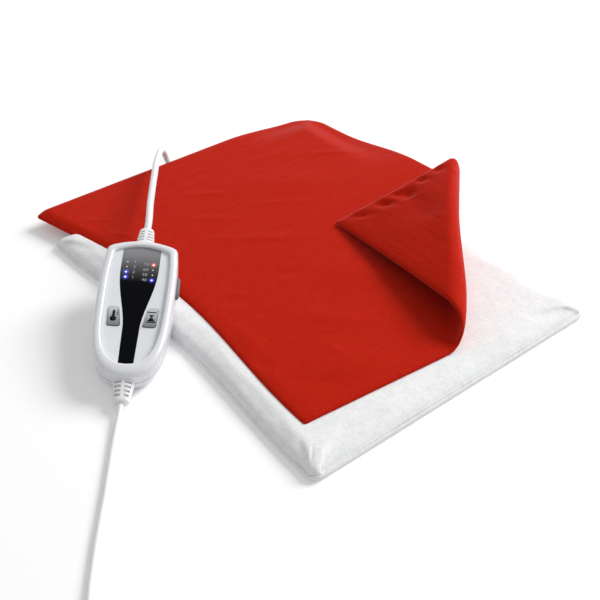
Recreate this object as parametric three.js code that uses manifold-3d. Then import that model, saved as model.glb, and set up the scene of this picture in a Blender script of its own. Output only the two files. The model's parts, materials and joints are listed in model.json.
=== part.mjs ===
// Electric heating pad: a felt pad lying flat, a loose cotton cover with one corner turned back,
// and a handset with two buttons, a side switch, indicator lamps and a mains lead.
// Millimetres, +Z up. The origin is the centre of the pad's underside, +X runs along the pad's
// short side and +Y along its long side.

import * as THREE from 'three';
import { mergeVertices } from 'three/addons/utils/BufferGeometryUtils.js';
import loadManifold from 'manifold-3d';

const wasm = await loadManifold();
wasm.setup();

// Clearance between pieces that touch
const seatGap = 0.3;

// Felt pad
const padWidth = 320;
const padLength = 400;
const padThickness = 14;
const padCornerRadius = 9;
const padLeftDrawIn = 12;
const padRightDrawIn = 4;
const padCrown = 1;
const padTopRound = 7;
const padBottomRound = 2;
const bottomFeltThickness = 5;
const feltSealWidth = 16;

// Heating element between the felts
const carrierThickness = 1;
const carrierMargin = 4;
const heatingWireDiameter = 1.8;
const heatingRuns = 10;
const heatingMargin = 16;
const cutoutWidth = 7;
const cutoutLength = 16;

// Gland where the pad lead enters the pad
const glandX = 8;
const glandWidth = 26;
const glandHeight = 10;
const glandLength = 22;
const glandBlockLength = 7;
const glandMouthRadius = 4.6;
const glandTongueWidth = 18;
const glandTongueLength = 26;

// Cotton cover: two plies sewn round the edge, laid on the pad with one corner turned back
const coverWidth = 348;
const coverLength = 400;
const coverThickness = 1.6;
const coverOffsetX = 26.3;
const coverOffsetY = 42.8;
const coverTurn = THREE.MathUtils.degToRad(-0.3);
const coverLeftDrawIn = 16;
const coverRightDrawIn = 16;
const coverLeftReach = 24;
const coverTipReach = 42;
const coverFrontReach = 14.5;
const frontReachAcross = 170;
const frontReachAlong = 110;
const coverFrontCorner = 2;
const coverBackCorner = 30;
const coverTipCorner = 3;
const foldFront = 144;
const foldBack = 202;
// The roll's section is three arcs at either end of the fold, each a radius and a turn in degrees
const rollFront = [[10, 53.2], [8.5, 51], [10.1, 104.8]];
const rollBack = [[19, 91.3], [76.3, 20.3], [4.7, 83.9]];
const coverDroop = 9;
const coverTipDroop = 3;
const droopReach = 34;

// Handset
const handsetLength = 152;
const handsetWidth = 68;
const handsetTopWidth = 64.5;
const handsetHeight = 26;
const handsetTopRound = 5;
const handsetBottomRound = 9;
const caseWall = 2.2;
const partingHeight = 12.2;
const rimWidth = 7.6;
const rimBottomWidth = 12;
const faceTopDepth = 2.8;
const faceBottomDepth = 4.5;
const panelThickness = 1.5;
const ceilingThickness = 1.8;
const handsetFootOut = 56;
const handsetFootY = -22;
const handsetHeading = THREE.MathUtils.degToRad(40);
const handsetRoll = THREE.MathUtils.degToRad(4.5);
const leanReach = 82;

// Display window and lamps, measured along the face from the lower end of its recess
const windowShoulder = 106;
const windowWaist = 42;
const windowFootStrip = 0.4;
const windowTopHalfWidth = 16.8;
const windowWaistHalfWidth = 7.2;
const windowFootHalfWidth = 6.3;
const windowProud = 0.1;
const lampRows = 4;
const lampRadius = 0.8;
const lampColumnX = 11.7;
const lampTop = 112;
const lampTimeRise = 2.4;
const lampPitch = 6;

// Push buttons
const buttonLow = 41.5;
const buttonHigh = 62;
const buttonInnerLow = 9.6;
const buttonInnerHigh = 13.2;
const buttonOuterLow = 20.4;
const buttonOuterHigh = 21.4;
const buttonCorner = 2;
const buttonProud = 1.1;
const buttonTravel = 0.7;
const buttonFlangeLip = 1.2;
const buttonFlangeThickness = 1.4;

// Side switch
const knobFromTop = 50;
const knobY = handsetLength - knobFromTop;
const knobZ = 15.6;
const knobLength = 24;
const knobHeight = 8;
const knobReach = 2.5;
const knobStemLength = 5;
const knobStemHeight = 3;
const knobTravel = 4;

// Circuit board and what it carries
const boardWidth = 44;
const boardThickness = 1.6;
const boardLowY = 32;
const boardHighY = 130;
const boardZ = 11;
const postRadius = 2.5;
const postInset = 4;
const postLowY = 42;
const postHighY = 120;
const tactSize = 6;
const slideBodyWidth = 8;
const slideBodyLength = 15;
const slideBodyHeight = 5;

// Case screws
const screwShankRadius = 1.3;
const screwHeadRadius = 2.7;
const screwHeadHeight = 2;
const screwSink = 0.8;
const screwBossWall = 1.6;
const screwLowX = 14;
const screwLowY = 20;
const screwHighX = 18;
const screwHighY = 137;

// Strain reliefs on the handset
const padBootLength = 24;
const mainsBootLength = 19.5;
const bootRootHalfWidth = 8.8;
const bootTipHalfWidth = 6.5;
const bootRootHalfHeight = 8;
const bootTipHalfHeight = 4.6;
const bootShoulder = 2.4;
const bootNeckRadius = 4.2;
const bootFlangeThickness = 1.8;
const bootFlangeInset = 1.8;
const bootSlots = 4;
const bootSlotWidth = 1.9;
const bootSlotPitch = 3.9;
const bootSlotsFromTip = 18.1;
const bootSlotWall = 1.3;
const bootSpine = 1.4;

// Leads
const padLeadDiameter = 6.6;
const mainsLeadDiameter = 5;

// Coil of spare mains lead, its tie and its plug
const coilLoops = 8.25;
const coilPitch = 5.6;
const coilInnerRadius = 19.2;
const coilSteps = 24;
const coilSides = 6;
const coilTail = 32;
const tieThickness = 0.9;
const tieWidth = 9;
const tieAngle = THREE.MathUtils.degToRad(200);
const plugLength = 35;
const plugWidth = 26;
const plugHeight = 13.7;
const plugBootLength = 14;
const pinRadius = 2;
const pinLength = 19;
const pinSpacing = 18.6;

// Materials
function finish(color, roughness, metalness = 0) {
  return new THREE.MeshStandardMaterial({ color, roughness, metalness });
}
const whiteFelt = finish(0xf1f0ec, 0.95);
const redCotton = finish(0xb81c16, 0.6);
const whitePlastic = finish(0xf0f0f2, 0.25);
const silverPlastic = finish(0xc9ccd2, 0.35);
const blackPlastic = finish(0x0b0b0c, 0.12);
const buttonPlastic = finish(0xa9adb3, 0.4);
const darkPlastic = finish(0x4a4f4e, 0.5);
const whitePvc = finish(0xeeeeea, 0.45);
const boardGreen = finish(0x1f5a38, 0.6);
const partBlack = finish(0x1a1a1c, 0.5);
const wireRed = finish(0x9c4a34, 0.5);
const steel = finish(0xb9bcc0, 0.3, 1);
const lampBlue = finish(0x4a5cff, 0.2);
const lampRed = finish(0xff3b22, 0.2);
const lampClear = finish(0xe6e9ee, 0.2);

const root = new THREE.Group();

function place(parent, name, geometry, material) {
  const mesh = new THREE.Mesh(geometry, material);
  mesh.name = name;
  parent.add(mesh);
  return mesh;
}

// Solids: a closed geometry becomes a manifold body, to be joined and cut, and comes back
function body(geometry) {
  const bare = new THREE.BufferGeometry();
  bare.setAttribute('position', geometry.getAttribute('position').clone());
  bare.setIndex(geometry.index ? geometry.index.clone() : null);
  const merged = mergeVertices(bare, 1e-4);
  const corners = merged.index.array;
  const kept = [];
  for (let i = 0; i < corners.length; i += 3) {
    const [a, b, c] = [corners[i], corners[i + 1], corners[i + 2]];
    if (a !== b && b !== c && c !== a) kept.push(a, b, c);
  }
  return new wasm.Manifold(new wasm.Mesh({
    numProp: 3,
    vertProperties: Float32Array.from(merged.getAttribute('position').array),
    triVerts: Uint32Array.from(kept),
  }));
}

function geometryOf(solid) {
  const mesh = solid.getMesh();
  const geometry = new THREE.BufferGeometry();
  geometry.setAttribute('position', new THREE.BufferAttribute(mesh.vertProperties, 3));
  geometry.setIndex(new THREE.BufferAttribute(mesh.triVerts, 1));
  return geometry;
}

const closed = (geometry) => geometryOf(body(geometry));

// A closed skin over rings of equally many points, with a fan over the first and the last ring.
// The rings turn counter-clockwise as seen from the first ring's side.
function skin(rings) {
  const count = rings[0].length;
  const points = rings.flat();
  const corners = [];
  for (let r = 0; r + 1 < rings.length; r += 1) {
    for (let i = 0; i < count; i += 1) {
      const next = (i + 1) % count;
      const [a, b] = [r * count + i, (r + 1) * count + i];
      const [c, d] = [(r + 1) * count + next, r * count + next];
      corners.push(a, b, c, a, c, d);
    }
  }
  const cap = (start, flip) => {
    const middle = new THREE.Vector3();
    for (let i = 0; i < count; i += 1) middle.add(points[start + i]);
    points.push(middle.divideScalar(count));
    const centre = points.length - 1;
    for (let i = 0; i < count; i += 1) {
      const next = (i + 1) % count;
      corners.push(centre, start + (flip ? next : i), start + (flip ? i : next));
    }
  };
  cap(0, false);
  cap((rings.length - 1) * count, true);
  const geometry = new THREE.BufferGeometry().setFromPoints(points);
  geometry.setIndex(corners);
  return geometry;
}

// A round bar whose rings stand square to a path that never runs straight up
function bar(path, radius, sides) {
  const up = new THREE.Vector3(0, 0, 1);
  const rings = path.map((point, i) => {
    const [before, after] = [path[Math.max(i - 1, 0)], path[Math.min(i + 1, path.length - 1)]];
    const along = after.clone().sub(before).normalize();
    const side = along.clone().cross(up).normalize();
    const over = side.clone().cross(along);
    return Array.from({ length: sides }, (_, k) => {
      const turn = (2 * Math.PI * (k + 0.5)) / sides;
      const [aside, above] = [radius * Math.cos(turn), radius * Math.sin(turn)];
      return point.clone().addScaledVector(side, aside).addScaledVector(over, above);
    });
  });
  return skin(rings);
}

// A plain tube along a smooth curve through chosen points
function tube(points, diameter, steps, sides) {
  const section = new THREE.Shape();
  section.absarc(0, 0, diameter / 2, 0, 2 * Math.PI);
  const outline = new THREE.Shape(section.getPoints(sides / 2).slice(0, sides));
  const curve = new THREE.CatmullRomCurve3(points, false, 'centripetal');
  return closed(new THREE.ExtrudeGeometry(outline, { steps, extrudePath: curve, bevelEnabled: false }));
}

function plate(shape, low, high, curveSegments = 5) {
  const options = { depth: high - low, bevelEnabled: false, curveSegments };
  return new THREE.ExtrudeGeometry(shape, options).translate(0, 0, low);
}

function box(x0, x1, y0, y1, z0, z1) {
  const geometry = new THREE.BoxGeometry(x1 - x0, y1 - y0, z1 - z0);
  return geometry.translate((x0 + x1) / 2, (y0 + y1) / 2, (z0 + z1) / 2);
}

function upright(radius, x, y, z0, z1, sides = 12) {
  const geometry = new THREE.CylinderGeometry(radius, radius, z1 - z0, sides);
  return geometry.rotateX(Math.PI / 2).translate(x, y, (z0 + z1) / 2);
}

const smooth = (t) => THREE.MathUtils.smoothstep(t, 0, 1);

// Felt pad

// Outline of the pad: a rectangle with round corners whose long sides are drawn in
function padOutline() {
  const cornerSteps = 5;
  const sideSteps = 7;
  const [halfX, halfY] = [padWidth / 2, padLength / 2];
  const points = [];
  for (let corner = 0; corner < 4; corner += 1) {
    const signX = corner === 0 || corner === 3 ? 1 : -1;
    const signY = corner < 2 ? 1 : -1;
    const centre = new THREE.Vector2(signX * (halfX - padCornerRadius), signY * (halfY - padCornerRadius));
    for (let step = 0; step <= cornerSteps; step += 1) {
      const turn = (corner + step / cornerSteps) * (Math.PI / 2);
      const spoke = new THREE.Vector2(Math.cos(turn), Math.sin(turn));
      points.push(spoke.multiplyScalar(padCornerRadius).add(centre));
    }
  }
  const filled = [];
  points.forEach((point, i) => {
    const next = points[(i + 1) % points.length];
    const parts = point.distanceTo(next) > padCornerRadius ? sideSteps : 1;
    for (let step = 0; step < parts; step += 1) {
      filled.push(point.clone().lerp(next, step / parts));
    }
  });
  return filled.map((point) => {
    const pull = Math.cos((Math.PI * point.y) / padLength) ** 2;
    const share = Math.abs(point.x) / halfX;
    const drawIn = point.x < 0 ? padLeftDrawIn : -padRightDrawIn;
    return new THREE.Vector2(point.x + drawIn * pull * share, point.y);
  });
}

const padEdge = padOutline();

function padRing(inset, z) {
  const [scaleX, scaleY] = [1 - inset / (padWidth / 2), 1 - inset / (padLength / 2)];
  return padEdge.map((point) => new THREE.Vector3(point.x * scaleX, point.y * scaleY, z));
}

// Rings round a rounded edge, from the flat at height z to the wall (+1) or from the wall to it (-1)
function roundedEdge(ring, radius, z, direction) {
  const steps = 3;
  return Array.from({ length: steps + 1 }, (_, i) => {
    const turn = ((direction > 0 ? i : steps - i) / steps) * (Math.PI / 2);
    return ring(radius * (1 - Math.sin(turn)), z - direction * radius * (1 - Math.cos(turn)));
  });
}

const carrierLow = bottomFeltThickness + seatGap;
const wireLow = carrierLow + carrierThickness + seatGap;
const cavityTop = wireLow + heatingWireDiameter + seatGap;
const cavityInset = feltSealWidth;

const bottomFelt = skin([
  padRing(padWidth / 4, bottomFeltThickness),
  padRing(0, bottomFeltThickness),
  ...roundedEdge(padRing, padBottomRound, 0, -1),
  padRing(padWidth / 4, 0),
]);
place(root, 'pad_bottom_felt', closed(bottomFelt), whiteFelt);

const topFeltLow = bottomFeltThickness + seatGap;
const topFelt = skin([
  padRing(padWidth * 0.36, padThickness),
  padRing(padWidth * 0.2, padThickness - padCrown * 0.15),
  padRing(padWidth * 0.09, padThickness - padCrown * 0.55),
  ...roundedEdge(padRing, padTopRound, padThickness - padCrown, 1),
  padRing(0, topFeltLow),
  padRing(cavityInset, topFeltLow),
  padRing(cavityInset, cavityTop),
  padRing(padWidth * 0.36, cavityTop),
]);
const tongueSlot = box(
  glandX - glandTongueWidth / 2 - seatGap, glandX + glandTongueWidth / 2 + seatGap,
  padLength / 2 - glandTongueLength - seatGap, padLength,
  topFeltLow - 1, cavityTop,
);
place(root, 'pad_top_felt', geometryOf(body(topFelt).subtract(body(tongueSlot))), whiteFelt);

// Heating element

const carrierInset = cavityInset + carrierMargin;
const tongueRoom = padLength / 2 - glandTongueLength - 2 * seatGap;
const carrierSheet = body(skin([
  padRing(carrierInset, carrierLow + carrierThickness),
  padRing(carrierInset, carrierLow),
]));
place(root, 'heater_carrier', geometryOf(carrierSheet), whiteFelt);

// The wire leaves the gland's tongue, runs up and down the carrier and comes back to the tongue
function heatingPath() {
  const left = -padWidth / 2 + padLeftDrawIn + carrierInset + heatingMargin;
  const right = padWidth / 2 - padRightDrawIn - carrierInset - heatingMargin;
  const pitch = (right - left) / (heatingRuns - 1);
  const feedY = tongueRoom - heatingWireDiameter / 2;
  const reach = feedY - pitch;
  const turnSteps = 6;
  const z = wireLow + heatingWireDiameter / 2;
  const path = [];
  const turn = (centreX, centreY, radius, from, to) => {
    for (let step = 0; step <= turnSteps; step += 1) {
      const angle = THREE.MathUtils.lerp(from, to, step / turnSteps);
      const [x, y] = [centreX + radius * Math.cos(angle), centreY + radius * Math.sin(angle)];
      path.push(new THREE.Vector3(x, y, z));
    }
  };
  path.push(new THREE.Vector3(glandX - glandTongueWidth / 4, feedY, z));
  turn(left + pitch / 2, feedY - pitch / 2, pitch / 2, Math.PI / 2, Math.PI);
  for (let run = 0; run < heatingRuns - 1; run += 1) {
    const end = run % 2 === 0 ? -1 : 1;
    const centreX = left + (run + 0.5) * pitch;
    turn(centreX, end * (reach - pitch / 2), pitch / 2, Math.PI, end < 0 ? 2 * Math.PI : 0);
  }
  turn(right - pitch / 2, feedY - pitch / 2, pitch / 2, 0, Math.PI / 2);
  path.push(new THREE.Vector3(glandX + glandTongueWidth / 4, feedY, z));
  return { path, left, pitch };
}

const heating = heatingPath();
place(root, 'heating_wire', closed(bar(heating.path, heatingWireDiameter / 2, 6)), wireRed);

const cutoutX = heating.left + heating.pitch * (Math.round(heatingRuns / 2) - 0.5);
const cutoutShape = new THREE.Shape();
cutoutShape.absarc(cutoutX, cutoutLength / 2 - cutoutWidth / 2, cutoutWidth / 2, 0, Math.PI);
cutoutShape.absarc(cutoutX, -cutoutLength / 2 + cutoutWidth / 2, cutoutWidth / 2, Math.PI, 2 * Math.PI);
const cutout = plate(cutoutShape, wireLow, wireLow + heatingWireDiameter);
place(root, 'thermal_cutout', closed(cutout), partBlack);

// Gland: a block on the pad's edge that tapers to the lead, with a tongue between the felts

function roundedSection(halfWidth, halfHeight, power, count = 24) {
  return Array.from({ length: count }, (_, i) => {
    const turn = (2 * Math.PI * i) / count;
    const [c, s] = [Math.cos(turn), Math.sin(turn)];
    return new THREE.Vector2(
      halfWidth * Math.sign(c) * Math.abs(c) ** (2 / power),
      halfHeight * Math.sign(s) * Math.abs(s) ** (2 / power),
    );
  });
}

// Rings stacked along +Y, each as [y, half width, half height, squareness]
function stackAlongY(stations, centreX, centreZ) {
  return skin(stations.map(([y, halfWidth, halfHeight, power]) => (
    roundedSection(halfWidth, halfHeight, power)
      .map((p) => new THREE.Vector3(centreX - p.x, y, centreZ + p.y))
  )));
}

const glandZ = glandHeight / 2 + 2 * seatGap;
const glandFace = padLength / 2 + seatGap;
const glandMouth = glandFace + glandLength;
const glandBlock = body(stackAlongY([
  [glandMouth, glandMouthRadius, glandMouthRadius, 2],
  [glandMouth - 3, glandMouthRadius, glandMouthRadius, 2],
  [glandFace + glandBlockLength, glandWidth / 2, glandHeight / 2, 5],
  [glandFace, glandWidth / 2, glandHeight / 2, 5],
], glandX, glandZ));
const glandTongue = body(box(
  glandX - glandTongueWidth / 2, glandX + glandTongueWidth / 2,
  padLength / 2 - glandTongueLength, glandFace + glandBlockLength / 2,
  carrierLow + carrierThickness + seatGap, cavityTop - seatGap,
));
place(root, 'pad_lead_gland', geometryOf(glandBlock.add(glandTongue)), whitePlastic);

// Cotton cover

const coverLevel = padThickness + seatGap + coverThickness / 2;
const coverCorner = new THREE.Vector2(-padWidth / 2 + coverOffsetX, -padLength / 2 + coverOffsetY);

// The middle of the cover at u across and v along it: laid flat, rolled over a slanting line near
// one corner, and drooping where it overhangs the pad
function coverPoint(u, v) {
  const share = v / coverLength;
  const pullLeft = coverLeftDrawIn * Math.sin(Math.PI * share) ** 2 - coverLeftReach * share ** 4;
  const pullTip = coverTipReach * Math.max(1 - v / foldBack, 0) ** 2;
  const pullRight = pullTip - coverRightDrawIn * smooth((v - foldBack) / (coverLength - foldBack));
  const drawn = u + THREE.MathUtils.lerp(pullLeft, pullRight, u / coverWidth);
  const foldStart = new THREE.Vector2(foldFront, 0);
  const foldLine = new THREE.Vector2(coverWidth, foldBack).sub(foldStart);
  const foldLength = foldLine.length();
  foldLine.normalize();
  const outward = new THREE.Vector2(foldLine.y, -foldLine.x);
  const offset = new THREE.Vector2(drawn, v).sub(foldStart);
  const past = offset.dot(outward);
  const along = offset.dot(foldLine);
  let [reach, rise, spare, heading] = [Math.min(past, 0), 0, Math.max(past, 0), 0];
  rollFront.forEach(([frontRadius, frontTurn], i) => {
    const radius = THREE.MathUtils.lerp(frontRadius, rollBack[i][0], along / foldLength);
    const fullTurn = THREE.MathUtils.lerp(frontTurn, rollBack[i][1], along / foldLength);
    const turn = Math.min(spare / radius, THREE.MathUtils.degToRad(fullTurn));
    reach += radius * (Math.sin(heading + turn) - Math.sin(heading));
    rise += radius * (Math.cos(heading) - Math.cos(heading + turn));
    heading += turn;
    spare -= radius * turn;
  });
  reach += spare * Math.cos(heading);
  rise += spare * Math.sin(heading);
  const flat = foldStart.addScaledVector(foldLine, along).addScaledVector(outward, reach);
  const plan = flat.rotateAround(new THREE.Vector2(), coverTurn).add(coverCorner);
  const pullFront = THREE.MathUtils.clamp((plan.x - coverCorner.x) / frontReachAcross, 0, 1.2);
  plan.y -= coverFrontReach * pullFront * smooth(1 - (plan.y - coverCorner.y) / frontReachAlong);
  const pastSide = smooth((plan.x - padWidth / 2) / droopReach);
  const pastEnd = smooth((plan.y - padLength / 2) / droopReach);
  const overSide = pastSide * smooth((plan.y - padLength / 5) / (padLength / 4));
  const overEnd = pastEnd * smooth((plan.x - padWidth / 4) / (padWidth / 3));
  const overTip = pastEnd * smooth((-plan.x - padWidth / 4) / (padWidth / 4));
  const droop = past > 0 ? 0 : Math.max(coverDroop * Math.max(overSide, overEnd), coverTipDroop * overTip);
  return new THREE.Vector3(plan.x, plan.y, coverLevel + rise - droop);
}

// Two skins either side of the middle, joined round the edge
function coverSheet() {
  const coarse = (from, to, count) => (
    Array.from({ length: count }, (_, i) => from + ((to - from) * i) / count)
  );
  const dense = foldFront * 0.9;
  const across = [...coarse(0, dense, 5), ...coarse(dense, coverWidth, 20), coverWidth];
  const down = [...coarse(0, foldBack, 20), ...coarse(foldBack, coverLength, 9), coverLength];
  const [columns, rows] = [across.length, down.length];
  const cornerRadius = (u, v) => {
    if (v > coverLength / 2) return u > coverWidth / 2 ? coverBackCorner : coverFrontCorner;
    return u > coverWidth / 2 ? coverTipCorner : coverFrontCorner;
  };
  const rounded = (u, v) => {
    const radius = cornerRadius(u, v);
    const centre = (value, size) => (value > size / 2 ? size - radius : radius);
    const [cu, cv] = [centre(u, coverWidth), centre(v, coverLength)];
    const du = (u - cu) * Math.sign(u - coverWidth / 2);
    const dv = (v - cv) * Math.sign(v - coverLength / 2);
    if (du <= 0 || dv <= 0) return [u, v];
    const scale = Math.max(du, dv) / Math.hypot(du, dv);
    return [cu + (u - cu) * scale, cv + (v - cv) * scale];
  };
  const points = [[], []];
  for (const v of down) {
    for (const u of across) {
      const [ru, rv] = rounded(u, v);
      const step = 0.5;
      const middle = coverPoint(ru, rv);
      const along = coverPoint(ru + step, rv).sub(coverPoint(ru - step, rv));
      const normal = along.cross(coverPoint(ru, rv + step).sub(coverPoint(ru, rv - step))).normalize();
      points[0].push(middle.clone().addScaledVector(normal, coverThickness / 2));
      points[1].push(middle.clone().addScaledVector(normal, -coverThickness / 2));
    }
  }
  const under = columns * rows;
  const corners = [];
  for (let j = 0; j + 1 < rows; j += 1) {
    for (let i = 0; i + 1 < columns; i += 1) {
      const a = j * columns + i;
      const [b, c, d] = [a + 1, a + columns + 1, a + columns];
      corners.push(a, b, c, a, c, d);
      corners.push(under + a, under + c, under + b, under + a, under + d, under + c);
    }
  }
  const edge = [];
  for (let i = 0; i < columns - 1; i += 1) edge.push(i);
  for (let j = 0; j < rows - 1; j += 1) edge.push(j * columns + columns - 1);
  for (let i = columns - 1; i > 0; i -= 1) edge.push((rows - 1) * columns + i);
  for (let j = rows - 1; j > 0; j -= 1) edge.push(j * columns);
  edge.forEach((a, i) => {
    const b = edge[(i + 1) % edge.length];
    corners.push(under + a, under + b, b, under + a, b, a);
  });
  const geometry = new THREE.BufferGeometry().setFromPoints(points.flat());
  geometry.setIndex(corners);
  return geometry;
}

place(root, 'cover', closed(coverSheet()), redCotton);

// Handset: its own frame has X across, Y from the mains end to the pad end, Z out of the face

// Outline of the case, inset from its sides and ends: round at the mains end, arched at the other
function handsetOutline(side, low, high) {
  const [half, top] = [handsetWidth / 2, handsetTopWidth / 2];
  const scaleX = (half - side) / half;
  const scaleY = (handsetLength - low - high) / handsetLength;
  const at = (x, y) => [x * scaleX, low + y * handsetLength * scaleY];
  const shape = new THREE.Shape();
  shape.moveTo(...at(0, 0));
  for (const hand of [1, -1]) {
    const route = [
      [[half * 0.68, 0], [half * 0.91, 0.13], [half * 0.955, 0.35]],
      [[half * 0.99, 0.5], [half * 1.03, 0.75], [top * 0.997, 0.905]],
      [[top * 0.995, 0.945], [top * 0.93, 0.955], [top * 0.78, 0.967]],
      [[top * 0.5, 0.99], [top * 0.2, 1], [0, 1]],
    ];
    const walk = hand > 0 ? route : reversed(route, [0, 0]);
    for (const [c1, c2, end] of walk) {
      const [first, second, last] = [c1, c2, end].map(([x, y]) => at(hand * x, y));
      shape.bezierCurveTo(...first, ...second, ...last);
    }
  }
  return shape;
}

// The same bezier route walked from its last point back to its start
function reversed(route, start) {
  const ends = [start, ...route.map((leg) => leg[2])];
  return route.map((leg, i) => [leg[1], leg[0], ends[i]]).reverse();
}

// The case's rounded outside, or the same shape a wall further in
const bodySegments = 5;
function roundedBlock(inset) {
  const ring = (extra, z) => {
    const all = inset + extra;
    const outline = handsetOutline(all, all, all).getPoints(bodySegments).slice(0, -1);
    return outline.map((point) => new THREE.Vector3(point.x, point.y, z));
  };
  return body(skin([
    ...roundedEdge(ring, handsetTopRound - inset, handsetHeight - inset, 1),
    ...roundedEdge(ring, handsetBottomRound - inset, inset, -1),
  ]));
}
const outside = roundedBlock(0);
const hollow = roundedBlock(caseWall);

// The recessed face leans down towards the mains end
const faceLength = handsetLength - rimBottomWidth - rimWidth;
const faceSlope = Math.asin((faceBottomDepth - faceTopDepth) / faceLength);
const faceMatrix = new THREE.Matrix4()
  .makeTranslation(0, rimBottomWidth, handsetHeight - faceBottomDepth)
  .multiply(new THREE.Matrix4().makeRotationX(faceSlope));
const onFace = (geometry) => body(geometry.clone().applyMatrix4(faceMatrix));
const farOut = 2 * handsetLength;
const recessFloor = -panelThickness - seatGap;
const ceilingUnder = recessFloor - ceilingThickness;

function faceOutline(inset) {
  return handsetOutline(rimWidth + inset, rimBottomWidth + inset, rimWidth + inset);
}

// Recess, window and buttons are drawn in the face's own frame, whose Y starts at its lower end.
// The window's foot stays a strip above the panel's rounded edge
function panelEdge(x) {
  const points = faceOutline(seatGap).getPoints(bodySegments);
  const next = points.findIndex((point) => point.x > x);
  const [from, to] = [points[next - 1], points[next]];
  return THREE.MathUtils.mapLinear(x, from.x, to.x, from.y, to.y) - rimBottomWidth;
}
const windowFoot = panelEdge(windowFootHalfWidth + seatGap) + seatGap + windowFootStrip;
const recess = plate(faceOutline(0), 0, handsetHeight, bodySegments)
  .translate(0, -rimBottomWidth, recessFloor);
const aboveCeiling = box(-farOut, farOut, -farOut, farOut, ceilingUnder, farOut);

function windowShape(grow) {
  const shape = new THREE.Shape();
  const foot = windowFootHalfWidth + grow;
  const waist = windowWaistHalfWidth + grow;
  const top = windowTopHalfWidth + grow;
  const lowBend = THREE.MathUtils.lerp(windowWaist, windowShoulder, 0.3);
  const highBend = THREE.MathUtils.lerp(windowWaist, windowShoulder, 0.6);
  shape.moveTo(-foot, windowFoot - grow);
  shape.lineTo(foot, windowFoot - grow);
  shape.lineTo(waist, windowWaist);
  shape.bezierCurveTo(waist + 1.2, lowBend, top - 0.4, highBend, top, windowShoulder);
  shape.lineTo(top, handsetLength);
  shape.lineTo(-top, handsetLength);
  shape.lineTo(-top, windowShoulder);
  shape.bezierCurveTo(-top + 0.4, highBend, -waist - 1.2, lowBend, -waist, windowWaist);
  return shape;
}

// A four-cornered key with rounded corners, on the left (-1) or right (+1) of the window
function buttonShape(hand, grow) {
  const corners = [
    [buttonInnerLow - grow, buttonLow - grow], [buttonOuterLow + grow, buttonLow - grow],
    [buttonOuterHigh + grow, buttonHigh + grow], [buttonInnerHigh - grow, buttonHigh + grow],
  ].map(([x, y]) => new THREE.Vector2(hand * x, y));
  if (hand < 0) corners.reverse();
  const shape = new THREE.Shape();
  corners.forEach((corner, i) => {
    const before = corners[(i + 3) % 4].clone().sub(corner).setLength(buttonCorner + grow).add(corner);
    const after = corners[(i + 1) % 4].clone().sub(corner).setLength(buttonCorner + grow).add(corner);
    if (i === 0) shape.moveTo(before.x, before.y);
    else shape.lineTo(before.x, before.y);
    shape.quadraticCurveTo(corner.x, corner.y, after.x, after.y);
  });
  return shape;
}

const lampPlaces = [];
for (const [column, hand] of [['time', -1], ['temperature', 1]]) {
  for (let row = 0; row < lampRows; row += 1) {
    const number = lampRows - row;
    const top = hand < 0 ? lampTop + lampTimeRise : lampTop;
    const [x, y] = [hand * lampColumnX, top - row * lampPitch];
    lampPlaces.push({ name: `${column}_led_${number}`, x, y });
  }
}
const lampMargin = 3;
const lampWindow = box(
  -lampColumnX - lampMargin, lampColumnX + lampMargin,
  lampTop - (lampRows - 1) * lampPitch - lampMargin, lampTop + lampTimeRise + lampMargin,
  ceilingUnder - 1, recessFloor + 0.1,
);

// Case screws stand in pairs near both ends
const screwPlaces = [
  [-screwLowX, screwLowY], [screwLowX, screwLowY], [-screwHighX, screwHighY], [screwHighX, screwHighY],
];
const screwHole = screwShankRadius + seatGap;
const screwBoss = screwHole + screwBossWall;
const ceilingAt = (y) => handsetHeight - faceBottomDepth + (y - rimBottomWidth) * Math.sin(faceSlope)
  + ceilingUnder;
const screwTip = Math.min(...screwPlaces.map(([, y]) => ceilingAt(y))) - 1;

const lowHalf = body(box(-farOut, farOut, -farOut, farOut, -1, partingHeight - seatGap / 2));
const highHalf = body(box(-farOut, farOut, -farOut, farOut, partingHeight + seatGap / 2, farOut));
const neckHole = body(
  new THREE.CylinderGeometry(bootNeckRadius + seatGap, bootNeckRadius + seatGap, 3 * handsetLength, 20)
    .translate(0, handsetLength / 2, partingHeight),
);

const knobSlot = body(box(
  handsetWidth / 4, handsetWidth,
  knobY - knobStemLength / 2 - seatGap, knobY + knobStemLength / 2 + knobTravel + seatGap,
  knobZ - knobStemHeight / 2 - seatGap, knobZ + knobStemHeight / 2 + seatGap,
));

function bottomCase() {
  let shell = outside.intersect(lowHalf).subtract(hollow);
  const floor = caseWall / 2;
  const boardPost = boardWidth / 2 - postInset;
  for (const x of [-boardPost, boardPost]) {
    for (const y of [postLowY, postHighY]) {
      shell = shell.add(body(upright(postRadius, x, y, floor, boardZ - seatGap)));
    }
  }
  for (const [x, y] of screwPlaces) {
    const sunk = screwSink + screwHeadHeight + seatGap;
    const seat = upright(screwHeadRadius + seatGap + screwBossWall, x, y, floor, sunk + caseWall);
    shell = shell.add(body(seat));
    shell = shell.add(body(upright(screwBoss, x, y, floor, partingHeight - seatGap / 2)));
    shell = shell.subtract(body(upright(screwHeadRadius + seatGap, x, y, -1, sunk)));
    shell = shell.subtract(body(upright(screwHole, x, y, -1, handsetHeight)));
  }
  return shell.subtract(neckHole);
}

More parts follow.
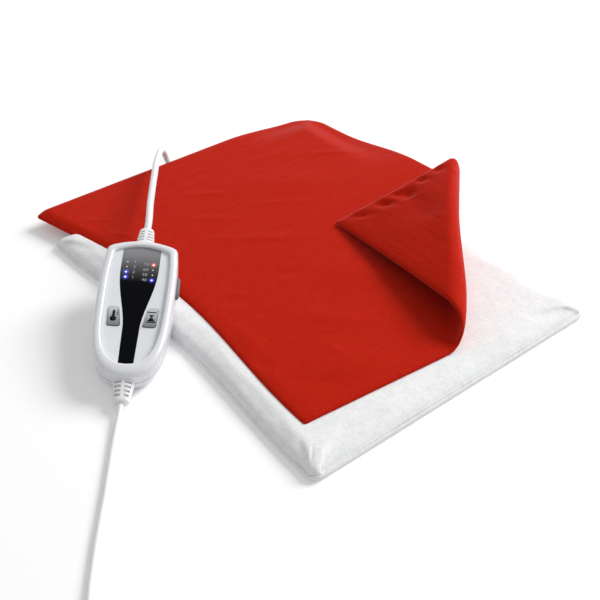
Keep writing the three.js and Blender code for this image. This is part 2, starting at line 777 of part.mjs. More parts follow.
function topCase() {
  let shell = outside.intersect(highHalf);
  shell = shell.subtract(hollow.subtract(onFace(aboveCeiling)));
  for (const [x, y] of screwPlaces) {
    const post = body(upright(screwBoss, x, y, partingHeight + seatGap / 2, ceilingAt(y) + 0.5));
    shell = shell.add(post).subtract(body(upright(screwHole, x, y, 0, screwTip + seatGap)));
  }
  shell = shell.subtract(onFace(recess)).subtract(onFace(lampWindow));
  for (const hand of [-1, 1]) {
    shell = shell.subtract(onFace(plate(buttonShape(hand, seatGap), ceilingUnder - 1, handsetHeight)));
  }
  return shell.subtract(neckHole).subtract(knobSlot);
}

// The handset stands on its mains end and leans on the pad's edge with its right-hand side
const leanSide = handsetWidth / 2 - handsetBottomRound;
const handsetTilt = Math.asin((padThickness + leanSide * Math.sin(handsetRoll)) / leanReach);
const handset = new THREE.Group();
handset.rotation.set(handsetTilt, handsetRoll, -handsetHeading, 'ZXY');
const bottomCaseGeometry = geometryOf(bottomCase());
const lean = new THREE.Matrix4().makeRotationFromEuler(handset.rotation);
const tilted = bottomCaseGeometry.clone().applyMatrix4(lean);
tilted.computeBoundingBox();
handset.position.set(-padWidth / 2 - handsetFootOut, handsetFootY, -tilted.boundingBox.min.z);
root.add(handset);
handset.updateMatrixWorld(true);

place(handset, 'handset_bottom_case', bottomCaseGeometry, whitePlastic);
place(handset, 'handset_top_case', geometryOf(topCase()), whitePlastic);

const face = new THREE.Group();
face.applyMatrix4(faceMatrix);
handset.add(face);

// What fills the recess up to a height above the face
function faceSheet(height) {
  const sheet = plate(faceOutline(seatGap), -panelThickness, height, bodySegments);
  return body(sheet.translate(0, -rimBottomWidth, 0));
}

function facePanel() {
  let panel = faceSheet(0).subtract(body(plate(windowShape(seatGap), -handsetHeight, handsetHeight)));
  for (const hand of [-1, 1]) {
    panel = panel.subtract(body(plate(buttonShape(hand, seatGap), -handsetHeight, handsetHeight)));
  }
  return panel;
}
place(face, 'face_panel', geometryOf(facePanel()), silverPlastic);

function displayWindow() {
  let lens = body(plate(windowShape(0), -panelThickness, windowProud)).intersect(faceSheet(windowProud));
  for (const lamp of lampPlaces) {
    const hole = upright(lampRadius + seatGap, lamp.x, lamp.y, -handsetHeight, handsetHeight);
    lens = lens.subtract(body(hole));
  }
  return lens;
}
place(face, 'display_window', geometryOf(displayWindow()), blackPlastic);

const boardTop = boardZ + boardThickness;
const faceHeight = (y) => handsetHeight - faceBottomDepth + y * Math.sin(faceSlope);
const lampFinish = {
  time_led_1: lampBlue, time_led_2: lampBlue, temperature_led_1: lampBlue, temperature_led_4: lampRed,
};
for (const lamp of lampPlaces) {
  const depth = faceHeight(lamp.y - lampRadius) - boardTop - seatGap - 0.1;
  const pipe = upright(lampRadius, lamp.x, lamp.y, -depth, windowProud + 0.15);
  place(face, lamp.name, closed(pipe), lampFinish[lamp.name] ?? lampClear);
}

// Each button has a flange under the ceiling that keeps it in
const buttonNames = [['temperature_button', -1], ['time_button', 1]];
const flangeTop = ceilingUnder - seatGap;
const flangeUnder = flangeTop - buttonFlangeThickness;
for (const [name, hand] of buttonNames) {
  const key = body(plate(buttonShape(hand, 0), flangeUnder, buttonProud));
  const flange = body(plate(buttonShape(hand, buttonFlangeLip), flangeUnder, flangeTop));
  place(face, name, geometryOf(key.add(flange)), buttonPlastic);
}

// Circuit board, its tact switches under the buttons and its other parts
const board = box(-boardWidth / 2, boardWidth / 2, boardLowY, boardHighY, boardZ, boardTop);
place(handset, 'circuit_board', closed(board), boardGreen);
const buttonMiddle = (buttonLow + buttonHigh) / 2;
const buttonCentre = (buttonInnerLow + buttonOuterLow + buttonInnerHigh + buttonOuterHigh) / 4;
const tactY = buttonMiddle + rimBottomWidth;
const tactTop = faceHeight(buttonMiddle - tactSize / 2) + flangeUnder - buttonTravel - seatGap;
for (const [name, hand] of buttonNames) {
  const x = hand * buttonCentre;
  const half = tactSize / 2;
  const base = box(x - half, x + half, tactY - half, tactY + half, boardTop + seatGap, tactTop - 1);
  const plunger = upright(tactSize / 4, x, tactY, boardTop + 1, tactTop);
  place(handset, `${name.split('_')[0]}_tact_switch`, geometryOf(body(base).add(body(plunger))), partBlack);
}

// Boxes on the board, as [name, x, y, across, along, height], above it or (negative height) under it
const [slideX, slideY] = [boardWidth / 2 - slideBodyWidth / 2, knobY + knobTravel / 2];
const boardParts = [
  ['microcontroller', 0, 84, 11, 11, 2],
  ['slide_switch_body', slideX, slideY, slideBodyWidth, slideBodyLength, slideBodyHeight],
  ['film_capacitor', 10, 62, 8, 15, -7],
  ['triac', 0, 98, 10, 15, -4.5],
];
for (const [name, x, y, across, along, height] of boardParts) {
  const [low, high] = height > 0
    ? [boardTop + seatGap, boardTop + seatGap + height]
    : [boardZ - seatGap + height, boardZ - seatGap];
  const block = box(x - across / 2, x + across / 2, y - along / 2, y + along / 2, low, high);
  place(handset, name, closed(block), partBlack);
}
const fuseRadius = 2.6;
const fuseLength = 20;
const fuse = new THREE.CylinderGeometry(fuseRadius, fuseRadius, fuseLength, 16)
  .translate(-10, 62, boardZ - seatGap - fuseRadius);
place(handset, 'fuse', closed(fuse), lampClear);

// Side switch: a cap outside the case on a stem that reaches the slide switch
function switchKnob() {
  const capIn = handsetWidth / 2 + seatGap;
  const cap = new THREE.Shape();
  const [halfLength, halfHeight] = [knobLength / 2, knobHeight / 2];
  cap.absarc(halfLength - halfHeight, 0, halfHeight, -Math.PI / 2, Math.PI / 2);
  cap.absarc(-halfLength + halfHeight, 0, halfHeight, Math.PI / 2, 1.5 * Math.PI);
  const bevel = knobReach * 0.45;
  const capGeometry = new THREE.ExtrudeGeometry(cap, {
    depth: knobReach - bevel, curveSegments: 6,
    bevelThickness: bevel, bevelSize: bevel, bevelOffset: -bevel, bevelSegments: 2,
  });
  const turned = new THREE.Matrix4().makeBasis(
    new THREE.Vector3(0, 1, 0), new THREE.Vector3(0, 0, 1), new THREE.Vector3(1, 0, 0),
  ).setPosition(capIn, knobY + knobTravel / 2, knobZ);
  const within = box(-farOut, capIn, -farOut, farOut, -farOut, farOut);
  const outer = body(capGeometry.applyMatrix4(turned)).subtract(body(within));
  const stem = body(box(
    boardWidth / 2 + seatGap, capIn + knobReach / 2,
    knobY - knobStemLength / 2, knobY + knobStemLength / 2,
    knobZ - knobStemHeight / 2, knobZ + knobStemHeight / 2,
  ));
  return outer.add(stem);
}
place(handset, 'power_switch_knob', geometryOf(switchKnob()), darkPlastic);

screwPlaces.forEach(([x, y], i) => {
  const head = screwSink + screwHeadHeight;
  const profile = [
    [0, screwSink], [screwHeadRadius * 0.8, screwSink],
    [screwHeadRadius, screwSink + screwHeadHeight * 0.3], [screwHeadRadius, head],
    [screwShankRadius, head], [screwShankRadius, screwTip - 1.5], [0, screwTip],
  ].map(([r, z]) => new THREE.Vector2(r, z));
  const screw = new THREE.LatheGeometry(profile, 12).rotateX(Math.PI / 2).translate(x, y, 0);
  place(handset, `case_screw_${i + 1}`, closed(screw), steel);
});

// Strain reliefs: a flanged neck held between the case halves and a tapered boot with a row of
// slots on either side of a spine
const bootFlangeRadius = ceilingAt(0) - partingHeight - seatGap;

function boot(endY, direction, leadDiameter, bootLength) {
  const inner = -caseWall - bootFlangeInset;
  const neckProfile = [
    [0, inner - bootFlangeThickness], [bootFlangeRadius, inner - bootFlangeThickness],
    [bootFlangeRadius, inner], [bootNeckRadius, inner], [bootNeckRadius, 1], [0, 1],
  ].map(([r, a]) => new THREE.Vector2(r, a));
  const neck = body(new THREE.LatheGeometry(neckProfile, 16));
  const halfWidth = (a) => THREE.MathUtils.lerp(bootRootHalfWidth, bootTipHalfWidth, a / bootLength);
  const halfHeight = (a) => THREE.MathUtils.lerp(bootRootHalfHeight, bootTipHalfHeight, a / bootLength);
  const station = (a, inset) => [a, halfWidth(a) - inset, halfHeight(a) - inset * 0.4, 2.6];
  let relief = body(stackAlongY([
    station(bootLength, bootShoulder),
    station(bootLength - bootShoulder * 0.3, bootShoulder * 0.3),
    station(bootLength - bootShoulder, 0),
    station(seatGap, 0),
  ], 0, 0));
  for (let i = 0; i < bootSlots; i += 1) {
    const low = bootLength - bootSlotsFromTip + i * bootSlotPitch;
    const reach = halfWidth(low + bootSlotWidth) - bootSlotWall;
    for (const [x0, x1] of [[bootSpine, reach], [-reach, -bootSpine]]) {
      relief = relief.subtract(body(box(x0, x1, low, low + bootSlotWidth, -farOut, farOut)));
    }
  }
  const coreRadius = leadDiameter / 2 + 0.5;
  const core = new THREE.CylinderGeometry(coreRadius, coreRadius, bootLength - 2, 12)
    .translate(0, bootLength / 2, 0);
  const geometry = geometryOf(relief.add(body(core)).add(neck));
  if (direction < 0) geometry.rotateZ(Math.PI);
  return geometry.translate(0, endY, partingHeight);
}
const padBoot = boot(handsetLength, 1, padLeadDiameter, padBootLength);
const mainsBoot = boot(0, -1, mainsLeadDiameter, mainsBootLength);
place(handset, 'pad_side_strain_relief', padBoot, whitePvc);
place(handset, 'mains_side_strain_relief', mainsBoot, whitePvc);

// Leads

const inRoot = (x, y, z) => handset.localToWorld(new THREE.Vector3(x, y, z));
const padBootTip = inRoot(0, handsetLength + padBootLength + seatGap, partingHeight);
const padBootLead = inRoot(0, handsetLength + padBootLength + 2 * padLeadDiameter, partingHeight);
const mainsBootTip = inRoot(0, -mainsBootLength - seatGap, partingHeight);
const mainsBootLead = inRoot(0, -mainsBootLength - 2 * mainsLeadDiameter, partingHeight);
const points = (list) => list.map(([x, y, z]) => new THREE.Vector3(x, y, z));

// From the gland out past the cover's edge, up and back over it to the handset
const padLeadRoute = [
  new THREE.Vector3(glandX, glandMouth + seatGap, glandZ),
  ...points([
    [8, 231, 5.6], [8, 238, 5.8], [8, 244.4, 7.9], [7.6, 249.3, 12.3], [6.5, 251.8, 18.3],
    [4.2, 251.3, 24.5], [0.6, 248.2, 29.3], [-4.2, 243, 32.6], [-10.3, 236, 34.7],
    [-17.2, 227.8, 36.2], [-26.4, 216.6, 37.9], [-36.2, 202.9, 39.9], [-56.8, 174.6, 43.7],
    [-80.5, 142, 46.8],
  ]),
  padBootLead,
  padBootTip,
];
place(root, 'pad_lead', tube(padLeadRoute, padLeadDiameter, 40, 8), whitePvc);

// Coil: two layers of loops that spiral in on the floor side and out again on top
const coilMiddle = new THREE.Vector2(-350, -256);
const coilEntry = Math.atan2(0.63, -0.775);
const coilFloor = tieThickness + seatGap + mainsLeadDiameter / 2;
const coilTurn = 2 * Math.PI * coilLoops;
const coilRadius = (angle) => (
  coilInnerRadius + (coilPitch * Math.abs(angle - coilTurn / 2)) / (2 * Math.PI)
);
const coilHeight = (angle) => coilFloor + coilPitch * smooth((angle - coilTurn / 2) / Math.PI + 0.5);

function coilPoint(angle) {
  const radius = coilRadius(angle);
  return new THREE.Vector3(
    coilMiddle.x + radius * Math.cos(coilEntry + angle),
    coilMiddle.y + radius * Math.sin(coilEntry + angle),
    coilHeight(angle),
  );
}

function coilPath() {
  const count = coilSteps * coilLoops + 1;
  const loops = Array.from({ length: count }, (_, i) => coilPoint((2 * Math.PI * i) / coilSteps));
  const heading = (angle) => coilPoint(angle + 0.01).sub(coilPoint(angle - 0.01)).setZ(0).normalize();
  const [inward, outward] = [heading(0), heading(coilTurn)];
  const plugAxis = plugHeight / 2 + 0.1;
  const start = loops[0].clone().addScaledVector(inward, -mainsLeadDiameter);
  const tail = [0.35, 0.7, 1].map((share) => {
    const point = loops.at(-1).clone().addScaledVector(outward, coilTail * share);
    return point.setZ(THREE.MathUtils.lerp(point.z, plugAxis, smooth(share / 0.7)));
  });
  return { path: [start, ...loops, ...tail], inward, outward };
}

// Least gap between any two stretches of the coil that are more than half a loop apart
function coilSelfGap(path) {
  let least = Infinity;
  for (let i = 0; i < path.length; i += 1) {
    for (let j = i + coilSteps / 2; j < path.length; j += 1) {
      least = Math.min(least, path[i].distanceTo(path[j]));
    }
  }
  return least - mainsLeadDiameter;
}

const coil = coilPath();
console.log(`coil self-gap ${coilSelfGap(coil.path).toFixed(2)} mm`);
place(root, 'mains_lead_coil', closed(bar(coil.path, mainsLeadDiameter / 2, coilSides)), whitePvc);

// From the handset down to the floor and on to the coil
const coilStart = coil.path[0].clone().addScaledVector(coil.inward, -seatGap);
const mainsRoute = [
  mainsBootTip,
  mainsBootLead,
  ...points([
    [-253, -67.5, 2.9], [-269, -88, 2.7], [-290, -115, 2.7],
    [-314, -145, 2.7], [-338, -177, 2.7], [-360, -208, 2.8],
  ]),
  coilStart.clone().addScaledVector(coil.inward, -2 * mainsLeadDiameter),
  coilStart,
];
place(root, 'mains_lead_run', tube(mainsRoute, mainsLeadDiameter, 20, 8), whitePvc);

// Tie: a flat band round all the turns
function cordTie() {
  const samples = 4 * coilSteps;
  const spread = Array.from({ length: samples + 1 }, (_, i) => coilRadius((i / samples) * coilTurn));
  const lead = mainsLeadDiameter / 2 + seatGap;
  const [inner, outer] = [Math.min(...spread) - lead, Math.max(...spread) + lead];
  const [low, high] = [coilFloor - lead, coilFloor + coilPitch + lead];
  const loop = (grow) => {
    const path = new THREE.Shape();
    const corner = 2 + grow;
    path.absarc(outer + grow - corner, high + grow - corner, corner, 0, Math.PI / 2);
    path.absarc(inner - grow + corner, high + grow - corner, corner, Math.PI / 2, Math.PI);
    path.absarc(inner - grow + corner, low - grow + corner, corner, Math.PI, 1.5 * Math.PI);
    path.absarc(outer + grow - corner, low - grow + corner, corner, 1.5 * Math.PI, 2 * Math.PI);
    return path;
  };
  const band = loop(tieThickness);
  band.holes.push(loop(0));
  const options = { depth: tieWidth, bevelEnabled: false, curveSegments: 4 };
  const geometry = new THREE.ExtrudeGeometry(band, options);
  return geometry.translate(0, 0, -tieWidth / 2).rotateX(Math.PI / 2);
}
const tie = place(root, 'cord_tie', closed(cordTie()), partBlack);
tie.position.set(coilMiddle.x, coilMiddle.y, 0);
tie.rotation.z = coilEntry + tieAngle;

// Two-pin plug lying flat at the end of the tail; its own Y runs towards the pins
const plug = new THREE.Group();
const tailEnd = coil.path.at(-1);
plug.position.copy(tailEnd).addScaledVector(coil.outward, seatGap);
plug.rotation.z = Math.atan2(coil.outward.y, coil.outward.x) - Math.PI / 2;
root.add(plug);
const plugFront = plugBootLength + plugLength;
const plugBody = stackAlongY([
  [plugFront, plugWidth / 2 - 0.8, plugHeight / 2 - 0.8, 4],
  [plugFront - 0.8, plugWidth / 2, plugHeight / 2, 4],
  [plugBootLength + plugLength * 0.45, plugWidth / 2 - 0.5, plugHeight / 2, 4],
  [plugBootLength + plugLength * 0.2, plugWidth / 2 - 2.5, plugHeight / 2 - 0.4, 3],
  [plugBootLength, mainsLeadDiameter * 0.95, mainsLeadDiameter * 0.95, 2],
  [0, mainsLeadDiameter / 2 + 0.8, mainsLeadDiameter / 2 + 0.8, 2],
], 0, 0);
place(plug, 'plug_body', closed(plugBody), whitePvc);
[-1, 1].forEach((hand, i) => {
  const profile = [
    [0, 0], [pinRadius, 0], [pinRadius, pinLength - 1], [pinRadius - 1, pinLength], [0, pinLength],
  ].map(([r, a]) => new THREE.Vector2(r, a));
  const pin = new THREE.LatheGeometry(profile, 14)
    .translate((hand * pinSpacing) / 2, plugFront + seatGap, 0);
  place(plug, `plug_pin_${i + 1}`, closed(pin), steel);
});

export default root;
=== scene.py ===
# %% [markdown]
# # A heating pad, its cover and its handset
# A white felt pad lies flat. A red cotton cover lies loose on it with one corner turned back, and a
# white handset leans on the pad's left edge. The packed model gives every piece its place and size,
# so this lesson adds what a maker would call the finish: soft edges, cloth, gloss and light.

# %% The packed frame
import json
import math

import bmesh
import bpy
import numpy as np
from mathutils import Matrix, Vector, noise
from mathutils.geometry import tessellate_polygon


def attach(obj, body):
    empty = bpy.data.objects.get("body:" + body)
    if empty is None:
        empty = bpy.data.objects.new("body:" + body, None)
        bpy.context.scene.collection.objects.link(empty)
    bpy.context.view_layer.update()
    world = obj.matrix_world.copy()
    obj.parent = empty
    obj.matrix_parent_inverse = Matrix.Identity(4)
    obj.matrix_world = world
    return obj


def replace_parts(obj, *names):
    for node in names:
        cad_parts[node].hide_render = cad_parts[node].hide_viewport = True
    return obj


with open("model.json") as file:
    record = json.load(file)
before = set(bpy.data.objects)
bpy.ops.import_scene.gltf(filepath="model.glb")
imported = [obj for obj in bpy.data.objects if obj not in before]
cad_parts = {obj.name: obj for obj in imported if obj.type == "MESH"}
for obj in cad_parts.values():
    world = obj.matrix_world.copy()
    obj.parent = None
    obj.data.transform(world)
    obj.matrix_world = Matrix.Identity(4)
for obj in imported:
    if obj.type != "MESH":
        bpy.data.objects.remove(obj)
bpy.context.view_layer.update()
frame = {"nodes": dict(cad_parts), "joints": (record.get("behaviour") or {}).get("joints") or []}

MM = 0.001
scene = bpy.context.scene

# %% [markdown]
# ## The camera
# The camera comes first, because every later choice is judged through it. Its place was worked out
# from the pad's corners in the photograph, so it is written as a place, a direction and a focal
# length in pixels of the square picture, and turned into Blender's lens length here.

# %% Camera
CAMERA_PLACE = Vector((-0.4994, -0.6008, 0.5917))
CAMERA_DIRECTION = Vector((0.496, 0.609, -0.619))
PICTURE_PIXELS = 600
FOCAL_PIXELS = 1035

camera = bpy.data.objects.new("photo_camera", bpy.data.cameras.new("photo_camera"))
scene.collection.objects.link(camera)
camera.location = CAMERA_PLACE
camera.rotation_mode = "QUATERNION"
camera.rotation_quaternion = CAMERA_DIRECTION.to_track_quat("-Z", "Y")
camera.data.lens = FOCAL_PIXELS / PICTURE_PIXELS * camera.data.sensor_width
scene.camera = camera
scene.view_settings.view_transform = "Standard"
print(f"camera: lens {camera.data.lens:.1f} mm")

# %% [markdown]
# ## Writing materials as sums
# A material is a small graph of nodes. Adding the nodes by hand hides the idea, so one class wraps
# an output socket and lets Python's own operators add the Math nodes, and one method adds any other
# kind of node. A finish is then a few lines that read like the surface they describe.

# %% A socket that can be added and multiplied
class Wire:
    """An output of a node in a finish. Arithmetic on it adds Math nodes."""

    def __init__(self, finish, socket):
        self.finish = finish
        self.socket = socket

    def maths(self, operation, *values):
        return self.finish.node("Math", {"operation": operation}, dict(enumerate(values)))

    def __add__(self, other):
        return self.maths("ADD", self, other)

    def __sub__(self, other):
        return self.maths("SUBTRACT", self, other)

    def __rsub__(self, other):
        return self.maths("SUBTRACT", other, self)

    def __mul__(self, other):
        return self.maths("MULTIPLY", self, other)

    def __pow__(self, other):
        return self.maths("POWER", self, other)

    __radd__ = __add__
    __rmul__ = __mul__

    def sine(self):
        return self.maths("SINE", self)

    def at_least(self, other):
        return self.maths("MAXIMUM", self, other)


def colour(red, green, blue):
    """The linear colour of a screen colour given from 0 to 255."""
    shares = [value / 255 for value in (red, green, blue)]
    return tuple(s / 12.92 if s <= 0.04045 else ((s + 0.055) / 1.055) ** 2.4 for s in shares) + (1.0,)


print(f"screen grey 128 is {colour(128, 128, 128)[0]:.3f} of white in linear light")

# %% A graph built one node at a time
class Graph:
    """A node tree to which nodes are added by name."""

    def __init__(self, tree):
        self.tree = tree

    def feed(self, socket, value):
        if isinstance(value, Wire):
            self.tree.links.new(value.socket, socket)
        else:
            socket.default_value = value

    def node(self, kind, settings=None, inputs=None, output=0):
        made = self.tree.nodes.new("ShaderNode" + kind)
        for name, value in (settings or {}).items():
            if name == "stops":
                made.color_ramp.elements.remove(made.color_ramp.elements[0])
                made.color_ramp.elements[0].position, made.color_ramp.elements[0].color = value[0]
                for place, shade in value[1:]:
                    made.color_ramp.elements.new(place).color = shade
            else:
                setattr(made, name, value)
        for key, value in (inputs or {}).items():
            self.feed(made.inputs[key], value)
        return Wire(self, made.outputs[output])

    def seen_directly(self):
        """1 for light that reaches the camera straight, in a mirror or through glass."""
        kinds = ("Camera", "Glossy", "Transmission")
        rays = [self.node("LightPath", output=f"Is {kind} Ray") for kind in kinds]
        return rays[0].at_least(rays[1]).at_least(rays[2])


print("a graph can", [name for name in vars(Graph) if not name.startswith("_")])

# %% A material round its main shader
class Finish(Graph):
    """A material round its Principled shader."""

    def __init__(self, name, constants):
        self.material = bpy.data.materials.new(name)
        self.material.use_nodes = True
        super().__init__(self.material.node_tree)
        self.shader = self.tree.nodes["Principled BSDF"]
        self.put(constants)

    def put(self, values):
        for name, value in values.items():
            self.feed(self.shader.inputs[name], value)

    def place(self):
        return self.node("TexCoord", output="Object")

    def along(self, place, axis):
        return self.node("SeparateXYZ", {}, {0: place}, axis)

    def grain(self, place, scale, detail=2.0):
        return self.node("TexNoise", {}, {"Vector": place, "Scale": scale, "Detail": detail})

    def streaks(self, place, scale, detail, turn=(0, 0, 0)):
        """Noise with a scale of its own along each axis."""
        stretched = self.node("Mapping", {}, {"Vector": place, "Rotation": turn, "Scale": scale})
        return self.grain(stretched, 1, detail)

    def ramp(self, value, low, high, to_low=0.0, to_high=1.0):
        settings = {"interpolation_type": "SMOOTHSTEP"}
        return self.node("MapRange", settings, {0: value, 1: low, 2: high, 3: to_low, 4: to_high})

    def mix(self, share, first, second):
        return self.node("Mix", {"data_type": "RGBA"}, {0: share, 6: first, 7: second}, 2)

    def bump(self, height, distance, strength=1.0):
        inputs = {"Strength": strength, "Distance": distance, "Height": height}
        self.put({"Normal": self.node("Bump", {}, inputs)})


print("finishes are written with", Finish.__name__, "and", Wire.__name__)

# %% [markdown]
# ## Pieces
# Each piece is a closed mesh. Most are lofts: a row of rings with equally many points, joined by
# quads and closed by a small fan at either end. Flat sheets are a rim with holes, filled with
# triangles. All points are written in millimetres, as a maker would measure them.

# %% Meshes from rings and from flat outlines
def loft(rings, loop=False):
    """Points and faces of a skin over rings. A loop joins the last ring to the first."""
    rings = np.asarray(rings, float)
    count, around = rings.shape[:2]
    points = rings.reshape(-1, 3).tolist()
    faces = []
    for r in range(count if loop else count - 1):
        a, b = r * around, (r + 1) % count * around
        faces += [(a + i, a + (i + 1) % around, b + (i + 1) % around, b + i) for i in range(around)]
    for start in () if loop else (0, (count - 1) * around):
        points.append(rings[start // around].mean(axis=0).tolist())
        faces += [(start + i, start + (i + 1) % around, len(points) - 1) for i in range(around)]
    return points, faces


def plate(loops, low, high):
    """Points and faces of a flat sheet: the first loop is its rim and the others are holes."""
    flat = [point for loop in loops for point in loop]
    count = len(flat)
    triangles = tessellate_polygon([[Vector((x, y, 0)) for x, y in loop] for loop in loops])
    points = [(x, y, low) for x, y in flat] + [(x, y, high) for x, y in flat]
    faces = [tuple(t) for t in triangles] + [tuple(i + count for i in t) for t in triangles]
    start = 0
    for loop in loops:
        size = len(loop)
        for i in range(size):
            a, b = start + i, start + (i + 1) % size
            faces.append((a, b, b + count, a + count))
        start += size
    return points, faces


UNIT_SQUARE = [(0, 0), (1, 0), (1, 1), (0, 1)]
print("a square plate has", len(plate([UNIT_SQUARE], 0, 1)[1]), "faces")

# %% Putting a piece into the scene
def make_piece(name, shape, finish, body="pad_and_handset", place=None, stands_for=()):
    """A smooth piece that rides on a body. Its points are in millimetres in the frame of place."""
    points, faces = shape
    mesh = bpy.data.meshes.new(name)
    mesh.from_pydata((np.asarray(points, float) * MM).tolist(), [], faces)
    work = bmesh.new()
    work.from_mesh(mesh)
    bmesh.ops.recalc_face_normals(work, faces=work.faces)
    open_edges = sum(len(edge.link_faces) != 2 for edge in work.edges)
    work.to_mesh(mesh)
    work.free()
    mesh.shade_smooth()
    piece = bpy.data.objects.new(name, mesh)
    scene.collection.objects.link(piece)
    piece.matrix_world = place or Matrix()
    mesh.materials.append(finish.material)
    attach(piece, body)
    if stands_for:
        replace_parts(piece, *stands_for)
    print(f"{name}: {len(mesh.vertices)} points, {open_edges} open edges")
    return piece


# %% Rounding edges and easing from one value to another
def soften(piece, width, segments=2):
    """Rounds the sharp edges of a flat sheet and keeps its flats flat."""
    bevel = piece.modifiers.new("soft_edges", "BEVEL")
    bevel.width = width * MM
    bevel.segments = segments
    bevel.limit_method = "ANGLE"
    bevel.angle_limit = math.radians(40)
    bevel.harden_normals = True
    return piece


def smooth(t):
    t = np.clip(t, 0, 1)
    return t * t * (3 - 2 * t)


def quarter_round(count):
    """Pairs of sine and cosine over a quarter turn."""
    turns = np.linspace(0, math.pi / 2, count)
    return list(zip(np.sin(turns), np.cos(turns)))


print("a quarter of the way, the easing has gone", smooth(0.25), "of its range")

# %% [markdown]
# ## Where the handset stands
# The handset leans on the pad, so its own axes are tilted. They are read from the packed joints: the
# side switch slides along the handset, and the buttons move straight into its face. The circuit
# board's middle then fixes the origin, and no angle has to be copied.

# %% Handset frame and face frame
BOARD_MIDDLE = Vector((0, 81, 11.8))
RIM_BOTTOM = 12
CASE_HEIGHT = 26
FACE_BOTTOM_DEPTH = 4.5

joints = {joint["name"]: joint for joint in frame["joints"]}
along = Vector(joints["power_slide"]["axis"]).normalized()
out_of_face = -Vector(joints["time_press"]["axis"]).normalized()
across = along.cross(out_of_face).normalized()
out_of_case = across.cross(along)
turn_of_case = Matrix((across, along, out_of_case)).transposed()
board = frame["nodes"]["circuit_board"].data.vertices
board_middle = sum((v.co for v in board), Vector()) / len(board)
case_origin = board_middle - turn_of_case @ BOARD_MIDDLE * MM
case_frame = Matrix.Translation(case_origin) @ turn_of_case.to_4x4()
face_slope = math.acos(min(1.0, out_of_face.dot(out_of_case)))
face_foot = Vector((0, RIM_BOTTOM, CASE_HEIGHT - FACE_BOTTOM_DEPTH)) * MM
face_frame = case_frame @ Matrix.Translation(face_foot) @ Matrix.Rotation(face_slope, 4, "X")
print("handset foot at", [round(x / MM, 1) for x in case_origin], "mm")

# %% [markdown]
# ## Leads
# Two leads leave the handset. The short one runs over the cover and round its back edge into the
# pad. The mains lead runs down to the floor, and its spare length lies in a tied coil outside the
# picture. A curve with a round section is the natural tool: its own line is the lead's line.

# %% Lead finish
lead_finish = Finish("white_lead_pvc", {"Coat Weight": 0.15, "Coat Roughness": 0.3})
lead_place = lead_finish.place()
lead_cloud = lead_finish.grain(lead_place, 60, 3)
lead_finish.put({
    "Base Color": lead_finish.mix(lead_cloud, colour(234, 235, 237), colour(246, 246, 246)),
    "Roughness": lead_finish.ramp(lead_cloud, 0.3, 0.7, 0.36, 0.5),
})
lead_finish.bump(lead_finish.grain(lead_place, 900, 2), 0.00004)
print("lead finish:", len(lead_finish.tree.nodes), "nodes")

# %% A smooth line through chosen points
FINE_STEPS = 24
SQUARE_BEND = [(0, 0, 0), (1, 0, 0), (1, 1, 0)]


def line_through(points, count):
    """Evenly spaced points on a centripetal curve through the given ones."""
    points = np.array(points, float)
    ends = np.vstack([2 * points[0] - points[1], points, 2 * points[-1] - points[-2]])
    steps = np.sqrt(np.linalg.norm(np.diff(ends, axis=0), axis=1))
    fine = []
    for i in range(1, len(ends) - 2):
        before, step, after = steps[i - 1:i + 2]
        slope_in = step * ((ends[i] - ends[i - 1]) / before - (ends[i + 1] - ends[i - 1]) / (before + step)
                           + (ends[i + 1] - ends[i]) / step)
        slope_out = step * ((ends[i + 1] - ends[i]) / step - (ends[i + 2] - ends[i]) / (step + after)
                            + (ends[i + 2] - ends[i + 1]) / after)
        t = np.linspace(0, 1, FINE_STEPS, endpoint=False)[:, None]
        fine.append((2 * t**3 - 3 * t**2 + 1) * ends[i] + (t**3 - 2 * t**2 + t) * slope_in
                    + (3 * t**2 - 2 * t**3) * ends[i + 1] + (t**3 - t**2) * slope_out)
    fine = np.vstack(fine + [points[-1:]])
    run = np.concatenate([[0], np.cumsum(np.linalg.norm(np.diff(fine, axis=0), axis=1))])
    places = np.linspace(0, run[-1], count)
    return np.stack([np.interp(places, run, fine[:, k]) for k in range(3)], axis=1), run[-1]


print(f"round a square bend with sides of 1, the line is {line_through(SQUARE_BEND, 9)[1]:.2f} long")

# %% A round lead along a line
def make_lead(name, line, diameter, stands_for):
    """A round lead along a line in millimetres."""
    data = bpy.data.curves.new(name, "CURVE")
    data.dimensions = "3D"
    data.bevel_depth = diameter / 2 * MM
    data.bevel_resolution = 6
    data.resolution_u = 6
    data.use_fill_caps = True
    spline = data.splines.new("BEZIER")
    spline.bezier_points.add(len(line) - 1)
    for knot, point in zip(spline.bezier_points, line):
        knot.co = Vector(point) * MM
        knot.handle_left_type = knot.handle_right_type = "AUTO"
    lead = bpy.data.objects.new(name, data)
    scene.collection.objects.link(lead)
    data.materials.append(lead_finish.material)
    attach(lead, "pad_and_handset")
    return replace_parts(lead, *stands_for)


def on_case(x, y, z):
    return case_frame @ (Vector((x, y, z)) * MM) / MM


print("the handset's foot is", round(on_case(0, 0, 0).z, 1), "mm above the floor")

